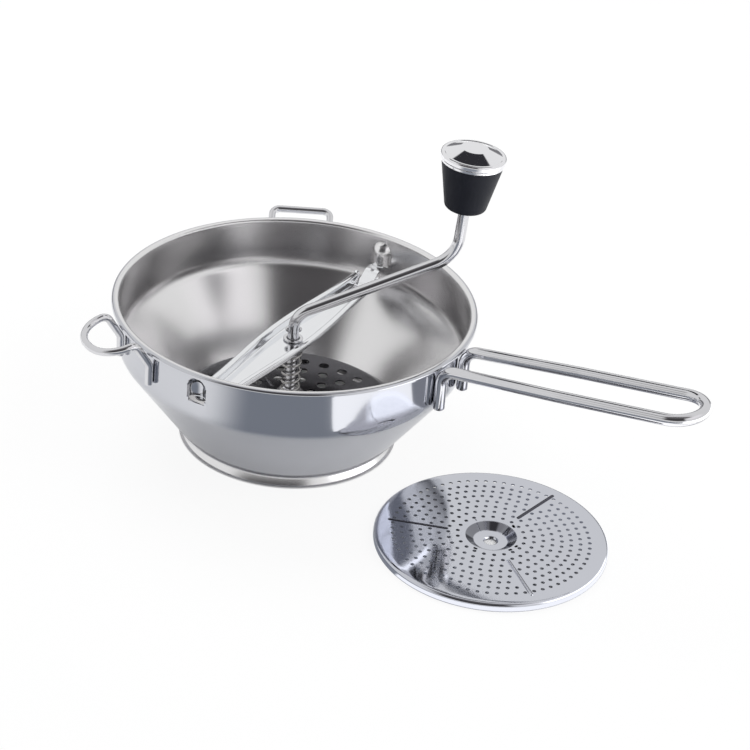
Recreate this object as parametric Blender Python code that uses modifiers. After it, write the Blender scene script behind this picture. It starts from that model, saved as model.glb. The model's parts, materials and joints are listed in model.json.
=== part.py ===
"""Food mill: a steel hopper on a foot ring, with a twist-in crossbar, a sprung crank and a spare disc.

Lengths are in metres and +Z is up. The hopper is built round its own axis, with the long handle
along +X. At the end the whole mill is moved so that the middle of its plan stands on the origin.
"""

import math

import bpy
import bmesh
from mathutils import Matrix, Vector

# Clearances shared by all pieces
CLEARANCE = 0.0003
OVERRUN = 0.0010
MERGE = 0.00001

# Hopper, one pressed sheet: rim lip, band, cone, disc ledge, neck and foot ring
SHEET = 0.0008
RIM_RADIUS = 0.1020
RIM_HEIGHT = 0.0850
RIM_LIP_WIDTH = 0.0036
RIM_LIP_DEPTH = 0.0022
RIM_ROUND = 0.0011
SHOULDER_HEIGHT = 0.0568
SHOULDER_ROUND = 0.0140
CONE_FOOT_RADIUS = 0.0625
LEDGE_HEIGHT = 0.0070
LEDGE_ROUND = 0.0009
NECK_WIDTH = 0.0040
NECK_HEIGHT = 0.0040
FOOT_RADIUS = 0.0621
FOOT_FLANGE = 0.0020
FOOT_ROUND = 0.0005
HOPPER_STEPS = 48

# Hoods pressed into the band, which hold the ends of the crossbar down
HOOD_DROP = 0.0177
HOOD_HALF_WIDTH = 0.0066
HOOD_DEPTH = 0.0052
HOOD_HEIGHT = 0.0134
HOOD_TURNS_DEG = (90.0, -90.0)
HOOD_MOUTH_DROP = 0.0018
HOOD_SEGMENTS = 16
HOOD_RINGS = 10

# Long handle, one wire bent to a U, with both ends welded down the band
HANDLE_WIRE_RADIUS = 0.00325
HANDLE_LEG_SPACING = 0.0264
HANDLE_SPREAD = 0.0300
HANDLE_SPREAD_REACH = 0.0680
HANDLE_REACH = 0.2450
HANDLE_LEG_BOTTOM = 0.0575
HANDLE_ELBOW_HEIGHT = 0.0816
HANDLE_ELBOW_BEND = 0.0090
HANDLE_TIP_HEIGHT = 0.1020
HANDLE_SPREAD_BEND = 0.0680
HANDLE_TIP_BEND_SHARE = 0.9999

# Two wire rests that hook over a pan
REST_WIRE_RADIUS = 0.0021
REST_LEG_SPACING = 0.0344
REST_LEG_BOTTOM = 0.0638
REST_ELBOW_HEIGHT = 0.0760
REST_ELBOW_BEND = 0.0060
LEFT_REST_TURN_DEG = -118.5
LEFT_REST_SPREAD = 0.0368
LEFT_REST_CREST_RUN = 0.0087
LEFT_REST_CREST_HEIGHT = 0.0904
LEFT_REST_CREST_BEND = 0.0050
LEFT_REST_TIP_RUN = 0.0192
LEFT_REST_TIP_HEIGHT = 0.0858
LEFT_REST_CORNER = 0.0162
REAR_REST_TURN_DEG = 120.0
REAR_REST_RUN = 0.0153
REAR_REST_HEIGHT = 0.0834
REAR_REST_CORNER = 0.0045

# Discs: flat face, rolled edge, and a sunken cup for the nut
DISC_RADIUS = 0.0635
DISC_SHEET = 0.0008
DISC_SIDE_CLEARANCE = 0.0005
DISC_DEPTH = 0.0050
DISC_EDGE_ROUND = 0.0018
CUP_DEPTH = 0.0040
CUP_FLAT_RADIUS = 0.0095
CUP_TOP_RADIUS = 0.0140
CUP_ROUND = 0.0010
HUB_HOLE_RADIUS = 0.0030
DISC_STEPS = 40
RIB_RADIUS = 0.00072
RIB_START_SHARE = 0.38
RIB_END_SHARE = 0.88
RIB_COUNT = 3
RIB_SIDES = 8
WEB_MIN = 0.0012
SPARE_HOLE_RADIUS = 0.0013
SPARE_HOLE_SPACING = 0.0092
SPARE_HOLE_SIDES = 6
FITTED_HOLE_RADIUS = 0.0035
FITTED_HOLE_SPACING = 0.0128
FITTED_HOLE_SIDES = 8
HOLE_MARGIN = 0.0042
SPARE_GAP_TO_FOOT = 0.0273
SPARE_TURN_DEG = -12.3
SPARE_RIB_TURN_DEG = 80.0
FITTED_RIB_TURN_DEG = 25.0

# Crossbar, a boat-shaped channel with flat end tongues
BAR_SHEET = 0.0012
BAR_HALF_WIDTH = 0.0108
BAR_END_HALF_WIDTH = 0.0062
BAR_FOLD = 0.0016
BAR_LIP = 0.0023
BAR_LIP_ROUND_SHARE = 0.25
BAR_LIP_TURN_SHARE = 0.50
BAR_FLANGE_HEIGHT = 0.0057
BAR_FLANGE_END_HEIGHT = 0.0032
BAR_SAG = 0.0074
TONGUE_LENGTH = 0.0130
TONGUE_HALF_WIDTH = 0.0043
TONGUE_HOLE_RADIUS = 0.0011
TONGUE_HOLE_INSET = 0.0050
BAR_RISE_START = 0.0760
BAR_RISE_END = 0.0900
BAR_END_GAP = 0.0018
BAR_STATION_SHARES = (0, 0.146, 0.292, 0.438, 0.585, 0.70, 0.793, 0.835, 0.877, 0.908, 0.939, 1)

# Shaft bore, washers and spring
SHAFT_CLEARANCE = 0.0005
WASHER_THICKNESS = 0.0010
TOP_WASHER_RADIUS = 0.0056
SPRING_WASHER_RADIUS = 0.0075
WASHER_SIDES = 20
SPRING_MEAN_RADIUS = 0.0051
SPRING_WIRE_RADIUS = 0.0007
SPRING_END_PITCH = 0.0019
SPRING_END_TURNS = 0.75
SPRING_ACTIVE_TURNS = 5.0
SPRING_POINTS_PER_TURN = 10

# Crank: one rod from the nut, up through the bar, out along the arm and up into the knob
CRANK_TURN_DEG = 36.0
CRANK_ROD_RADIUS = 0.00325
CRANK_ELBOW_RISE = 0.0154
CRANK_ELBOW_BEND = 0.0130
CRANK_ARM_REACH = 0.0879
CRANK_ARM_RISE = 0.0390
CRANK_UPPER_BEND = 0.0200
CRANK_LEAN_DEG = 3.6
KNOB_STANDOFF = 0.0301
SHOULDER_INSET = 0.0020
SPIGOT_RADIUS = 0.0025
SPIGOT_SIDES = 16

# Stop pin through the rod above the bar
PIN_RISE = 0.0064
PIN_RADIUS = 0.0015
PIN_STAND = 0.0014
PIN_CLEARANCE = 0.0003
PIN_SIDES = 12

# Blade, hub and nut at the foot of the rod
BLADE_SHEET = 0.0012
BLADE_TILT_DEG = 20.0
BLADE_TURN_DEG = 84.0
BLADE_GAP = 0.0006
BLADE_SIDE_GAP = 0.0045
BLADE_EDGE_REACH = 0.0110
BLADE_SIDES = 48
HUB_RADIUS = 0.0058
HUB_SIDES = 20
NUT_RADIUS = 0.0057
NUT_HEIGHT = 0.0040
NUT_GAP = 0.0004
NUT_THREAD_DEPTH = 0.0022
NUT_SIDES = 6
PILOT_CLEARANCE = 0.0005
PILOT_LENGTH = 0.0020
PILOT_TIP_SHARE = 0.67

# Knob: soft black body on a steel bush, under a bright cap
KNOB_FOOT_RADIUS = 0.0114
KNOB_TOP_RADIUS = 0.0172
KNOB_BODY_HEIGHT = 0.0282
KNOB_FOOT_ROUND = 0.0026
KNOB_STEPS = 24
CAP_RADIUS = 0.0182
CAP_BAND = 0.0050
CAP_CONE = 0.0032
CAP_FLAT_RADIUS = 0.0077
CAP_SHEET = 0.0008
CAP_ROUND = 0.0007
BUSH_WALL = 0.0014
BUSH_FLANGE = 0.0020
BUSH_FLANGE_THICKNESS = 0.0012
BUSH_LENGTH = 0.0220
POCKET_RADIUS = 0.0076
CLIP_THICKNESS = 0.0010
CLIP_STAND = 0.0026

# Curves
ARC_STEP_DEG = 15.0
TIGHT_ARC_STEP_DEG = 60.0
TIGHT_BEND = 0.0030
STRAIGHT_HALF_DEG = 89.0
WIRE_BEVEL_RESOLUTION = 2
SPRING_BEVEL_RESOLUTION = 1

# Heights and radii that several pieces share
BAND_RADIUS = RIM_RADIUS - RIM_LIP_WIDTH
BAND_INNER_RADIUS = BAND_RADIUS - SHEET
CONE_SLOPE = (BAND_RADIUS - CONE_FOOT_RADIUS) / (SHOULDER_HEIGHT - LEDGE_HEIGHT)
CONE_SHEET_RUN = SHEET * math.hypot(CONE_SLOPE, 1)
DISC_WEDGE_RUN = DISC_RADIUS + DISC_SIDE_CLEARANCE + CONE_SHEET_RUN - CONE_FOOT_RADIUS
DISC_BOTTOM = LEDGE_HEIGHT + DISC_WEDGE_RUN / CONE_SLOPE
DISC_TOP = DISC_BOTTOM + DISC_DEPTH
HOOD_BASE = RIM_HEIGHT - HOOD_DROP
TONGUE_TOP = HOOD_BASE - CLEARANCE
BAR_FLOOR_TOP = TONGUE_TOP - BAR_SAG
BAR_LENGTH = BAND_INNER_RADIUS - BAR_END_GAP
BORE_RADIUS = CRANK_ROD_RADIUS + SHAFT_CLEARANCE
NUT_BOTTOM = DISC_TOP - CUP_DEPTH + NUT_GAP
NUT_TOP = NUT_BOTTOM + NUT_HEIGHT
ROD_BOTTOM = NUT_TOP - NUT_THREAD_DEPTH + CLEARANCE
BLADE_SLOPE = math.tan(math.radians(BLADE_TILT_DEG))
BLADE_EDGE_HEIGHT = DISC_TOP + BLADE_GAP
BLADE_THICKNESS_UP = BLADE_SHEET / math.cos(math.radians(BLADE_TILT_DEG))
HUB_BOTTOM = NUT_TOP + CLEARANCE
HUB_TOP = (BLADE_EDGE_HEIGHT + BLADE_SLOPE * (BLADE_EDGE_REACH + SPRING_WASHER_RADIUS)
           + BLADE_THICKNESS_UP + CLEARANCE)
LOWER_WASHER_BOTTOM = HUB_TOP + CLEARANCE
SPRING_BOTTOM = LOWER_WASHER_BOTTOM + WASHER_THICKNESS + CLEARANCE
UPPER_WASHER_BOTTOM = BAR_FLOOR_TOP - BAR_SHEET - CLEARANCE - WASHER_THICKNESS
SPRING_TOP = UPPER_WASHER_BOTTOM - CLEARANCE
ELBOW_HEIGHT = BAR_FLOOR_TOP + CRANK_ELBOW_RISE
KNOB_ORIGIN = Vector((
    CRANK_ARM_REACH + KNOB_STANDOFF * math.tan(math.radians(CRANK_LEAN_DEG)),
    0,
    ELBOW_HEIGHT + CRANK_ARM_RISE + KNOB_STANDOFF,
))

STEEL = (0.60, 0.60, 0.61)
DARK_STEEL = (0.42, 0.42, 0.44)
SOFT_BLACK = (0.022, 0.024, 0.031)


def clear_scene():
    """Removes every object, so that the script gives the same scene each time."""
    for obj in list(bpy.data.objects):
        bpy.data.objects.remove(obj, do_unlink=True)


def new_collection(name):
    """A collection of the given name, linked to the scene."""
    collection = bpy.data.collections.new(name)
    bpy.context.scene.collection.children.link(collection)
    return collection


def new_material(name, colour, roughness, metallic):
    """A plain surface with one colour, roughness and metallic value."""
    material = bpy.data.materials.new(name)
    material.use_nodes = True
    shader = material.node_tree.nodes["Principled BSDF"]
    shader.inputs["Base Color"].default_value = (*colour, 1.0)
    shader.inputs["Roughness"].default_value = roughness
    shader.inputs["Metallic"].default_value = metallic
    material.diffuse_color = (*colour, 1.0)
    return material


class Workshop:
    """Holds the collections and materials, and puts each finished mesh in its place."""

    def __init__(self):
        self.parts = new_collection("food_mill")
        self.cutters = new_collection("food_mill_cutters")
        self.materials = {
            "brushed": new_material("brushed_steel", STEEL, 0.32, 1.0),
            "polished": new_material("polished_steel", STEEL, 0.12, 1.0),
            "spring": new_material("spring_steel", DARK_STEEL, 0.25, 1.0),
            "soft_black": new_material("soft_black", SOFT_BLACK, 0.55, 0.0),
        }

    def empty(self, name, parent=None, location=(0, 0, 0), turn=0.0, lean=0.0):
        """An axis that pieces hang on, turned about Z and then leant about its own Y."""
        obj = bpy.data.objects.new(name, None)
        obj.parent = parent
        obj.location = location
        obj.rotation_euler = (0, lean, turn)
        self.parts.objects.link(obj)
        return obj

    def part(self, name, mesh, material, parent, location=(0, 0, 0), turn=0.0):
        """A sub-part of the mill."""
        obj = bpy.data.objects.new(name, mesh)
        obj.parent = parent
        obj.location = location
        obj.rotation_euler = (0, 0, turn)
        mesh.materials.append(self.materials[material])
        self.parts.objects.link(obj)
        return obj

    def cutter(self, name, mesh, parent, location=(0, 0, 0), turn=0.0):
        """A guide shape for a Boolean, kept out of the model."""
        obj = bpy.data.objects.new(name, mesh)
        obj.parent = parent
        obj.location = location
        obj.rotation_euler = (0, 0, turn)
        obj.hide_render = True
        obj.display_type = "WIRE"
        self.cutters.objects.link(obj)
        return obj


def add_boolean(obj, tool, operation):
    """Joins the tool to the object or cuts it away."""
    modifier = obj.modifiers.new(tool.name, "BOOLEAN")
    modifier.operation = operation
    modifier.solver = "EXACT"
    modifier.object = tool


def add_solidify(obj, thickness):
    """Gives a sheet its thickness, half to each side."""
    modifier = obj.modifiers.new("sheet", "SOLIDIFY")
    modifier.thickness = thickness
    modifier.offset = 0.0
    modifier.use_even_offset = True


def add_screw(obj, steps):
    """Turns the profile once round Z."""
    modifier = obj.modifiers.new("turn", "SCREW")
    modifier.axis = "Z"
    modifier.angle = math.tau
    modifier.steps = steps
    modifier.render_steps = steps
    modifier.use_merge_vertices = True
    modifier.merge_threshold = MERGE


def rounded(corners, bends):
    """Points along straight runs through the corners, each corner rounded to its bend radius."""
    points = [Vector(corners[0])]
    for before, corner, after, bend in zip(corners, corners[1:], corners[2:], bends):
        here = Vector(corner)
        back = (Vector(before) - here).normalized()
        ahead = (Vector(after) - here).normalized()
        half = back.angle(ahead) / 2
        if bend <= 0 or half > math.radians(STRAIGHT_HALF_DEG):
            points.append(here)
            continue
        centre = here + (back + ahead).normalized() * (bend / math.sin(half))
        start = here + back * (bend / math.tan(half)) - centre
        axis = ahead.cross(back).normalized()
        sweep = math.pi - 2 * half
        step_deg = TIGHT_ARC_STEP_DEG if bend < TIGHT_BEND else ARC_STEP_DEG
        count = math.ceil(sweep / math.radians(step_deg))
        for index in range(count + 1):
            points.append(centre + Matrix.Rotation(sweep * index / count, 3, axis) @ start)
    points.append(Vector(corners[-1]))
    return points


def profile_mesh(name, outline, bends=None, closed=False):
    """A line of edges in the XZ plane, from (radius, height) corners with rounded bends."""
    corners = [(radius, 0, height) for radius, height in outline]
    if bends is None:
        bends = [0] * (len(corners) - 2)
    points = rounded(corners, bends)
    mesh = bpy.data.meshes.new(name)
    edges = [(index, index + 1) for index in range(len(points) - 1)]
    if closed:
        edges.append((len(points) - 1, 0))
    mesh.from_pydata(points, edges, [])
    return mesh


def prism_mesh(name, radius, bottom, top, sides, radius_top=None):
    """An upright cylinder, cone or prism on the Z axis."""
    form = bmesh.new()
    bmesh.ops.create_cone(
        form, cap_ends=True, segments=sides, radius1=radius,
        radius2=radius if radius_top is None else radius_top, depth=top - bottom)
    bmesh.ops.translate(form, verts=form.verts, vec=(0, 0, (top + bottom) / 2))
    return mesh_from(form, name)


def mesh_from(form, name):
    """Writes an edit mesh to a new mesh and frees it."""
    mesh = bpy.data.meshes.new(name)
    form.to_mesh(mesh)
    form.free()
    return mesh


def joined_mesh(name, meshes_and_places):
    """One mesh from several separate bodies, each with its own matrix."""
    form = bmesh.new()
    for mesh, place in meshes_and_places:
        copy = mesh.copy()
        copy.transform(place)
        form.from_mesh(copy)
        bpy.data.meshes.remove(copy)
    return mesh_from(form, name)


def wire_mesh(name, points, radius, resolution):
    """A round wire along the points, as one closed mesh with welded end caps."""
    curve = bpy.data.curves.new(name, "CURVE")
    curve.dimensions = "3D"
    curve.bevel_depth = radius
    curve.bevel_resolution = resolution
    curve.use_fill_caps = True
    spline = curve.splines.new("POLY")
    spline.points.add(len(points) - 1)
    for place, point in zip(spline.points, points):
        place.co = (*point, 1.0)
    guide = bpy.data.objects.new(name + "_guide", curve)
    bpy.context.scene.collection.objects.link(guide)
    graph = bpy.context.evaluated_depsgraph_get()
    mesh = bpy.data.meshes.new_from_object(guide.evaluated_get(graph))
    bpy.data.objects.remove(guide, do_unlink=True)
    form = bmesh.new()
    form.from_mesh(mesh)
    bmesh.ops.remove_doubles(form, verts=form.verts, dist=MERGE)
    bmesh.ops.recalc_face_normals(form, faces=form.faces)
    form.to_mesh(mesh)
    form.free()
    mesh.name = name
    mesh.materials.clear()
    return mesh


def smooth_mesh(mesh, limit_deg=35.0):
    """Shades round faces smooth and keeps real corners sharp."""
    mesh.shade_smooth()
    mesh.set_sharp_from_angle(angle=math.radians(limit_deg))


def hopper(shop, axis):
    """The bowl: a pressed sheet turned round the axis, with a hood pressed in at each bar end."""
    half = SHEET / 2
    neck_radius = CONE_FOOT_RADIUS - NECK_WIDTH
    outline = [
        (RIM_RADIUS - half, RIM_HEIGHT - RIM_LIP_DEPTH),
        (RIM_RADIUS - half, RIM_HEIGHT - half),
        (BAND_RADIUS - half, RIM_HEIGHT - half),
        (BAND_RADIUS - half, SHOULDER_HEIGHT),
        (CONE_FOOT_RADIUS - half, LEDGE_HEIGHT + half),
        (neck_radius - half, LEDGE_HEIGHT + half),
        (neck_radius - half, NECK_HEIGHT),
        (FOOT_RADIUS - FOOT_FLANGE, half),
        (FOOT_RADIUS, half),
    ]
    bends = [RIM_ROUND, RIM_ROUND, SHOULDER_ROUND, LEDGE_ROUND, LEDGE_ROUND, LEDGE_ROUND, FOOT_ROUND]
    mesh = profile_mesh("bowl_shell", outline, bends)
    bowl = shop.part("bowl_shell", mesh, "brushed", axis)
    add_screw(bowl, HOPPER_STEPS)
    add_solidify(bowl, SHEET)
    for index, turn_deg in enumerate(HOOD_TURNS_DEG):
        turn = math.radians(turn_deg)
        wall = Vector((math.cos(turn), math.sin(turn), 0)) * (BAND_RADIUS - half)
        outer = dome_mesh("hood_outer", HOOD_DEPTH + half, HOOD_HALF_WIDTH, HOOD_HEIGHT)
        inner = dome_mesh("hood_inner", HOOD_DEPTH + half - SHEET, HOOD_HALF_WIDTH - SHEET,
                          HOOD_HEIGHT - SHEET + HOOD_MOUTH_DROP)
        trim = box_mesh("hood_trim", (0, -HOOD_HALF_WIDTH - OVERRUN, -OVERRUN),
                        (HOOD_DEPTH + SHEET + OVERRUN, HOOD_HALF_WIDTH + OVERRUN,
                         HOOD_HEIGHT + OVERRUN))
        place = wall + Vector((0, 0, HOOD_BASE))
        press = shop.cutter(f"hood_press_{index}", outer, axis, place, turn)
        outside = shop.cutter(f"hood_outside_{index}", trim, axis, place, turn)
        add_boolean(press, outside, "DIFFERENCE")
        add_boolean(bowl, press, "UNION")
        hollow_place = wall + Vector((0, 0, HOOD_BASE - HOOD_MOUTH_DROP))
        hollow = shop.cutter(f"hood_hollow_{index}", inner, axis, hollow_place, turn)
        add_boolean(bowl, hollow, "DIFFERENCE")
    return bowl


def dome_mesh(name, depth, half_width, height):
    """The upper half of a ball, stretched to the given half axes and closed flat underneath."""
    form = bmesh.new()
    bmesh.ops.create_uvsphere(form, u_segments=HOOD_SEGMENTS, v_segments=HOOD_RINGS, radius=1)
    bmesh.ops.scale(form, verts=form.verts, vec=(depth, half_width, height))
    everything = form.verts[:] + form.edges[:] + form.faces[:]
    cut = bmesh.ops.bisect_plane(
        form, geom=everything, dist=MERGE, plane_co=(0, 0, 0), plane_no=(0, 0, 1), clear_inner=True)
    rim = [item for item in cut["geom_cut"] if isinstance(item, bmesh.types.BMEdge)]
    bmesh.ops.edgeloop_fill(form, edges=rim)
    bmesh.ops.recalc_face_normals(form, faces=form.faces)
    return mesh_from(form, name)


def box_mesh(name, low, high):
    """A box between two corners."""
    form = bmesh.new()
    bmesh.ops.create_cube(form, size=1)
    size = Vector(high) - Vector(low)
    middle = (Vector(high) + Vector(low)) / 2
    bmesh.ops.scale(form, verts=form.verts, vec=size)
    bmesh.ops.translate(form, verts=form.verts, vec=middle)
    return mesh_from(form, name)


def mirrored_path(half_path, half_bends):
    """A path and its mirror image in Y, joined at the far end."""
    back = [(x, -y, z) for x, y, z in reversed(half_path)]
    return half_path + back, half_bends + list(reversed(half_bends))


def leg_place(spacing, wire_radius):
    """Where a welded leg stands on the band: its distance along the handle and to one side."""
    side = spacing / 2
    reach = BAND_RADIUS + CLEARANCE + wire_radius
    return math.sqrt(reach ** 2 - side ** 2), side


def long_handle(shop, axis):
    """The long U of wire: two legs down the band, elbows under the lip, arms rising to the tip."""
    leg, side = leg_place(HANDLE_LEG_SPACING, HANDLE_WIRE_RADIUS)
    wide = HANDLE_SPREAD / 2
    slope = (HANDLE_TIP_HEIGHT - HANDLE_ELBOW_HEIGHT) / (HANDLE_REACH - leg)
    knee = leg + HANDLE_SPREAD_REACH
    half_path = [
        (leg, side, HANDLE_LEG_BOTTOM),
        (leg, side, HANDLE_ELBOW_HEIGHT),
        (knee, wide, HANDLE_ELBOW_HEIGHT + slope * HANDLE_SPREAD_REACH),
        (HANDLE_REACH, wide, HANDLE_TIP_HEIGHT),
    ]
    half_bends = [HANDLE_ELBOW_BEND, HANDLE_SPREAD_BEND, wide * HANDLE_TIP_BEND_SHARE]
    corners, bends = mirrored_path(half_path, half_bends)
    points = rounded(corners, bends)
    mesh = wire_mesh("long_handle", points, HANDLE_WIRE_RADIUS, WIRE_BEVEL_RESOLUTION)
    smooth_mesh(mesh)
    return shop.part("long_handle", mesh, "polished", axis)


def rest(shop, axis, name, turn_deg, outer_path, outer_bends):
    """A wire rest: two legs down the band and a loop that stands out past the lip.

    The outer path is a list of (run outwards from the legs, spread, height) corners.
    """
    leg, side = leg_place(REST_LEG_SPACING, REST_WIRE_RADIUS)
    half_path = [(leg, side, REST_LEG_BOTTOM), (leg, side, REST_ELBOW_HEIGHT)]
    half_path += [(leg + run, spread / 2, height) for run, spread, height in outer_path]
    corners, bends = mirrored_path(half_path, [REST_ELBOW_BEND] + outer_bends)
    points = rounded(corners, bends)
    mesh = wire_mesh(name, points, REST_WIRE_RADIUS, WIRE_BEVEL_RESOLUTION)
    smooth_mesh(mesh)
    return shop.part(name, mesh, "polished", axis, turn=math.radians(turn_deg))


def rests(shop, axis):
    """The rounded left rest rises over the lip, and the square rear one lies level."""
    left_path = [
        (LEFT_REST_CREST_RUN, REST_LEG_SPACING, LEFT_REST_CREST_HEIGHT),
        (LEFT_REST_CREST_RUN + LEFT_REST_TIP_RUN, LEFT_REST_SPREAD, LEFT_REST_TIP_HEIGHT),
    ]
    left_bends = [LEFT_REST_CREST_BEND, LEFT_REST_CORNER]
    rest(shop, axis, "left_rest_loop", LEFT_REST_TURN_DEG, left_path, left_bends)
    rear_path = [(REAR_REST_RUN, REST_LEG_SPACING, REAR_REST_HEIGHT)]
    rest(shop, axis, "rear_rest_loop", REAR_REST_TURN_DEG, rear_path, [REAR_REST_CORNER])


def hole_places(hole_radius, spacing):
    """Centres of the holes: rings round the cup, even along each ring, clear of the ribs."""
    first = CUP_TOP_RADIUS + HOLE_MARGIN
    last = DISC_RADIUS - HOLE_MARGIN - hole_radius
    rings = round((last - first) / spacing) + 1
    ring_step = (last - first) / (rings - 1)
    keep_off = RIB_RADIUS + WEB_MIN / 2 + hole_radius
    places = []
    for ring in range(rings):
        radius = first + ring_step * ring
        count = int(math.tau * radius / spacing)
        for index in range(count):
            turn = math.tau * (index + ring / 2) / count
            to_rib = min(abs(radius * math.sin(turn - math.tau * rib / RIB_COUNT))
                         for rib in range(RIB_COUNT)
                         if math.cos(turn - math.tau * rib / RIB_COUNT) > 0)
            on_rib = RIB_START_SHARE < radius / DISC_RADIUS < RIB_END_SHARE
            if to_rib < keep_off and on_rib:
                continue
            places.append((radius * math.cos(turn), radius * math.sin(turn)))
    return places


def disc(shop, parent, name, hole_radius, spacing, sides, place, turn):
    """A pierced disc that stands on its rolled edge, with a nut cup and three pressed ribs."""
    half = DISC_SHEET / 2
    cup = DISC_DEPTH - CUP_DEPTH - half
    outline = [
        (HUB_HOLE_RADIUS, cup),
        (CUP_FLAT_RADIUS, cup),
        (CUP_TOP_RADIUS, DISC_DEPTH - half),
        (DISC_RADIUS - half, DISC_DEPTH - half),
        (DISC_RADIUS - half, 0),
    ]
    mesh = profile_mesh(name, outline, [CUP_ROUND, CUP_ROUND, DISC_EDGE_ROUND])
    obj = shop.part(name, mesh, "polished", parent, place, turn)
    add_screw(obj, DISC_STEPS)
    add_solidify(obj, DISC_SHEET)
    start = DISC_RADIUS * RIB_START_SHARE
    end = DISC_RADIUS * RIB_END_SHARE
    bar = prism_mesh("rib", RIB_RADIUS, start, end, RIB_SIDES)
    lay_down = Matrix.Translation((0, 0, DISC_DEPTH)) @ Matrix.Rotation(math.pi / 2, 4, "Y")
    ribs = [(bar, Matrix.Rotation(math.tau * rib / RIB_COUNT, 4, "Z") @ lay_down)
            for rib in range(RIB_COUNT)]
    rib_tool = shop.cutter(name + "_ribs", joined_mesh("ribs", ribs), parent, place, turn)
    add_boolean(obj, rib_tool, "UNION")
    punch = prism_mesh("punch", hole_radius, DISC_DEPTH - CUP_DEPTH, DISC_DEPTH + OVERRUN, sides)
    punches = [(punch, Matrix.Translation((x, y, 0))) for x, y in hole_places(hole_radius, spacing)]
    punch_tool = shop.cutter(name + "_holes", joined_mesh("holes", punches), parent, place, turn)
    add_boolean(obj, punch_tool, "DIFFERENCE")
    return obj


def discs(shop, axis):
    """The coarse disc on the hopper's ledge, and the fine spare that lies beside the foot."""
    disc(shop, axis, "fitted_disc", FITTED_HOLE_RADIUS, FITTED_HOLE_SPACING, FITTED_HOLE_SIDES,
         (0, 0, DISC_BOTTOM), math.radians(FITTED_RIB_TURN_DEG))
    turn = math.radians(SPARE_TURN_DEG)
    reach = FOOT_RADIUS + SPARE_GAP_TO_FOOT + DISC_RADIUS
    place = (reach * math.cos(turn), reach * math.sin(turn), 0)
    disc(shop, axis, "spare_disc", SPARE_HOLE_RADIUS, SPARE_HOLE_SPACING, SPARE_HOLE_SIDES,
         place, math.radians(SPARE_RIB_TURN_DEG))


def bar_section(distance):
    """Half of the channel's section at a distance from the shaft, as (side, height) points.

    The floor is flat, a quarter fold turns it up into the flange, and a rolled lip ends it. The
    bar narrows towards the end, and there the floor climbs to the tongue while the lip stays level.
    """
    share = min(1, distance / (BAR_LENGTH - TONGUE_LENGTH))
    width_share = (1 + math.cos(math.pi * share)) / 2
    rise_share = (distance - BAR_RISE_START) / (BAR_RISE_END - BAR_RISE_START)
    rise_share = min(1, max(0, rise_share))
    rise_share = rise_share * rise_share * (3 - 2 * rise_share)
    width = BAR_END_HALF_WIDTH + (BAR_HALF_WIDTH - BAR_END_HALF_WIDTH) * width_share
    rise = BAR_SAG * rise_share
    floor = BAR_FLOOR_TOP - BAR_SHEET / 2 + rise
    top = floor + max(BAR_FLANGE_END_HEIGHT, BAR_FLANGE_HEIGHT - rise)
    turn_in = BAR_FOLD * (1 - math.cos(math.pi / 4))
    return [
        (0, floor),
        ((width - BAR_FOLD) / 2, floor),
        (width - BAR_FOLD, floor),
        (width - turn_in, floor + turn_in),
        (width, floor + BAR_FOLD),
        (width, top - BAR_LIP * BAR_LIP_TURN_SHARE),
        (width + BAR_LIP * BAR_LIP_ROUND_SHARE, top),
        (width + BAR_LIP, top),
    ]


def crossbar(shop, axis):
    """The bar across the hopper: a sheet grid bent to the channel, trimmed to a tongue each end."""
    columns = len(bar_section(0)) - 1
    rows = len(BAR_STATION_SHARES) - 1
    form = bmesh.new()
    bmesh.ops.create_grid(form, x_segments=2 * columns, y_segments=2 * rows, size=1)
    for vert in form.verts:
        column = round(vert.co.x * columns)
        row = round(vert.co.y * rows)
        distance = BAR_LENGTH * BAR_STATION_SHARES[abs(row)]
        side, height = bar_section(distance)[abs(column)]
        vert.co = (math.copysign(side, column), math.copysign(distance, row), height)
    mesh = mesh_from(form, "crossbar")
    bar = shop.part("crossbar", mesh, "polished", axis)
    add_solidify(bar, BAR_SHEET)
    shoulder = BAR_LENGTH - TONGUE_LENGTH
    wide = BAR_HALF_WIDTH + BAR_LIP + BAR_SHEET
    low = BAR_FLOOR_TOP - BAR_SHEET - OVERRUN
    high = TONGUE_TOP + BAR_FLANGE_HEIGHT
    trims = [
        (box_mesh("trim", (TONGUE_HALF_WIDTH, shoulder, low), (wide, BAR_LENGTH + OVERRUN, high)),
         Matrix.Rotation(math.pi * half_turn, 4, "Z")) for half_turn in range(2)]
    trims += [
        (box_mesh("trim", (-wide, shoulder, low), (-TONGUE_HALF_WIDTH, BAR_LENGTH + OVERRUN, high)),
         Matrix.Rotation(math.pi * half_turn, 4, "Z")) for half_turn in range(2)]
    trim_tool = shop.cutter("bar_trims", joined_mesh("bar_trims", trims), axis)
    add_boolean(bar, trim_tool, "DIFFERENCE")
    bore = prism_mesh("bore", BORE_RADIUS, low, high, WASHER_SIDES)
    small = prism_mesh("small", TONGUE_HOLE_RADIUS, low, high, PIN_SIDES)
    bores = [(bore, Matrix.Identity(4))]
    for end in (1, -1):
        place = end * (shoulder + TONGUE_HOLE_INSET)
        bores.append((small, Matrix.Translation((0, place, 0))))
    bore_tool = shop.cutter("bar_bores", joined_mesh("bar_bores", bores), axis)
    add_boolean(bar, bore_tool, "DIFFERENCE")
    return bar


def ring(shop, name, parent, inner, outer, bottom, top, material, steps=WASHER_SIDES):
    """A flat washer or a plain sleeve round the parent's Z axis."""
    outline = [(outer, top), (outer, bottom), (inner, bottom), (inner, top)]
    mesh = profile_mesh(name, outline, closed=True)
    obj = shop.part(name, mesh, material, parent)
    add_screw(obj, steps)
    return obj


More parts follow.
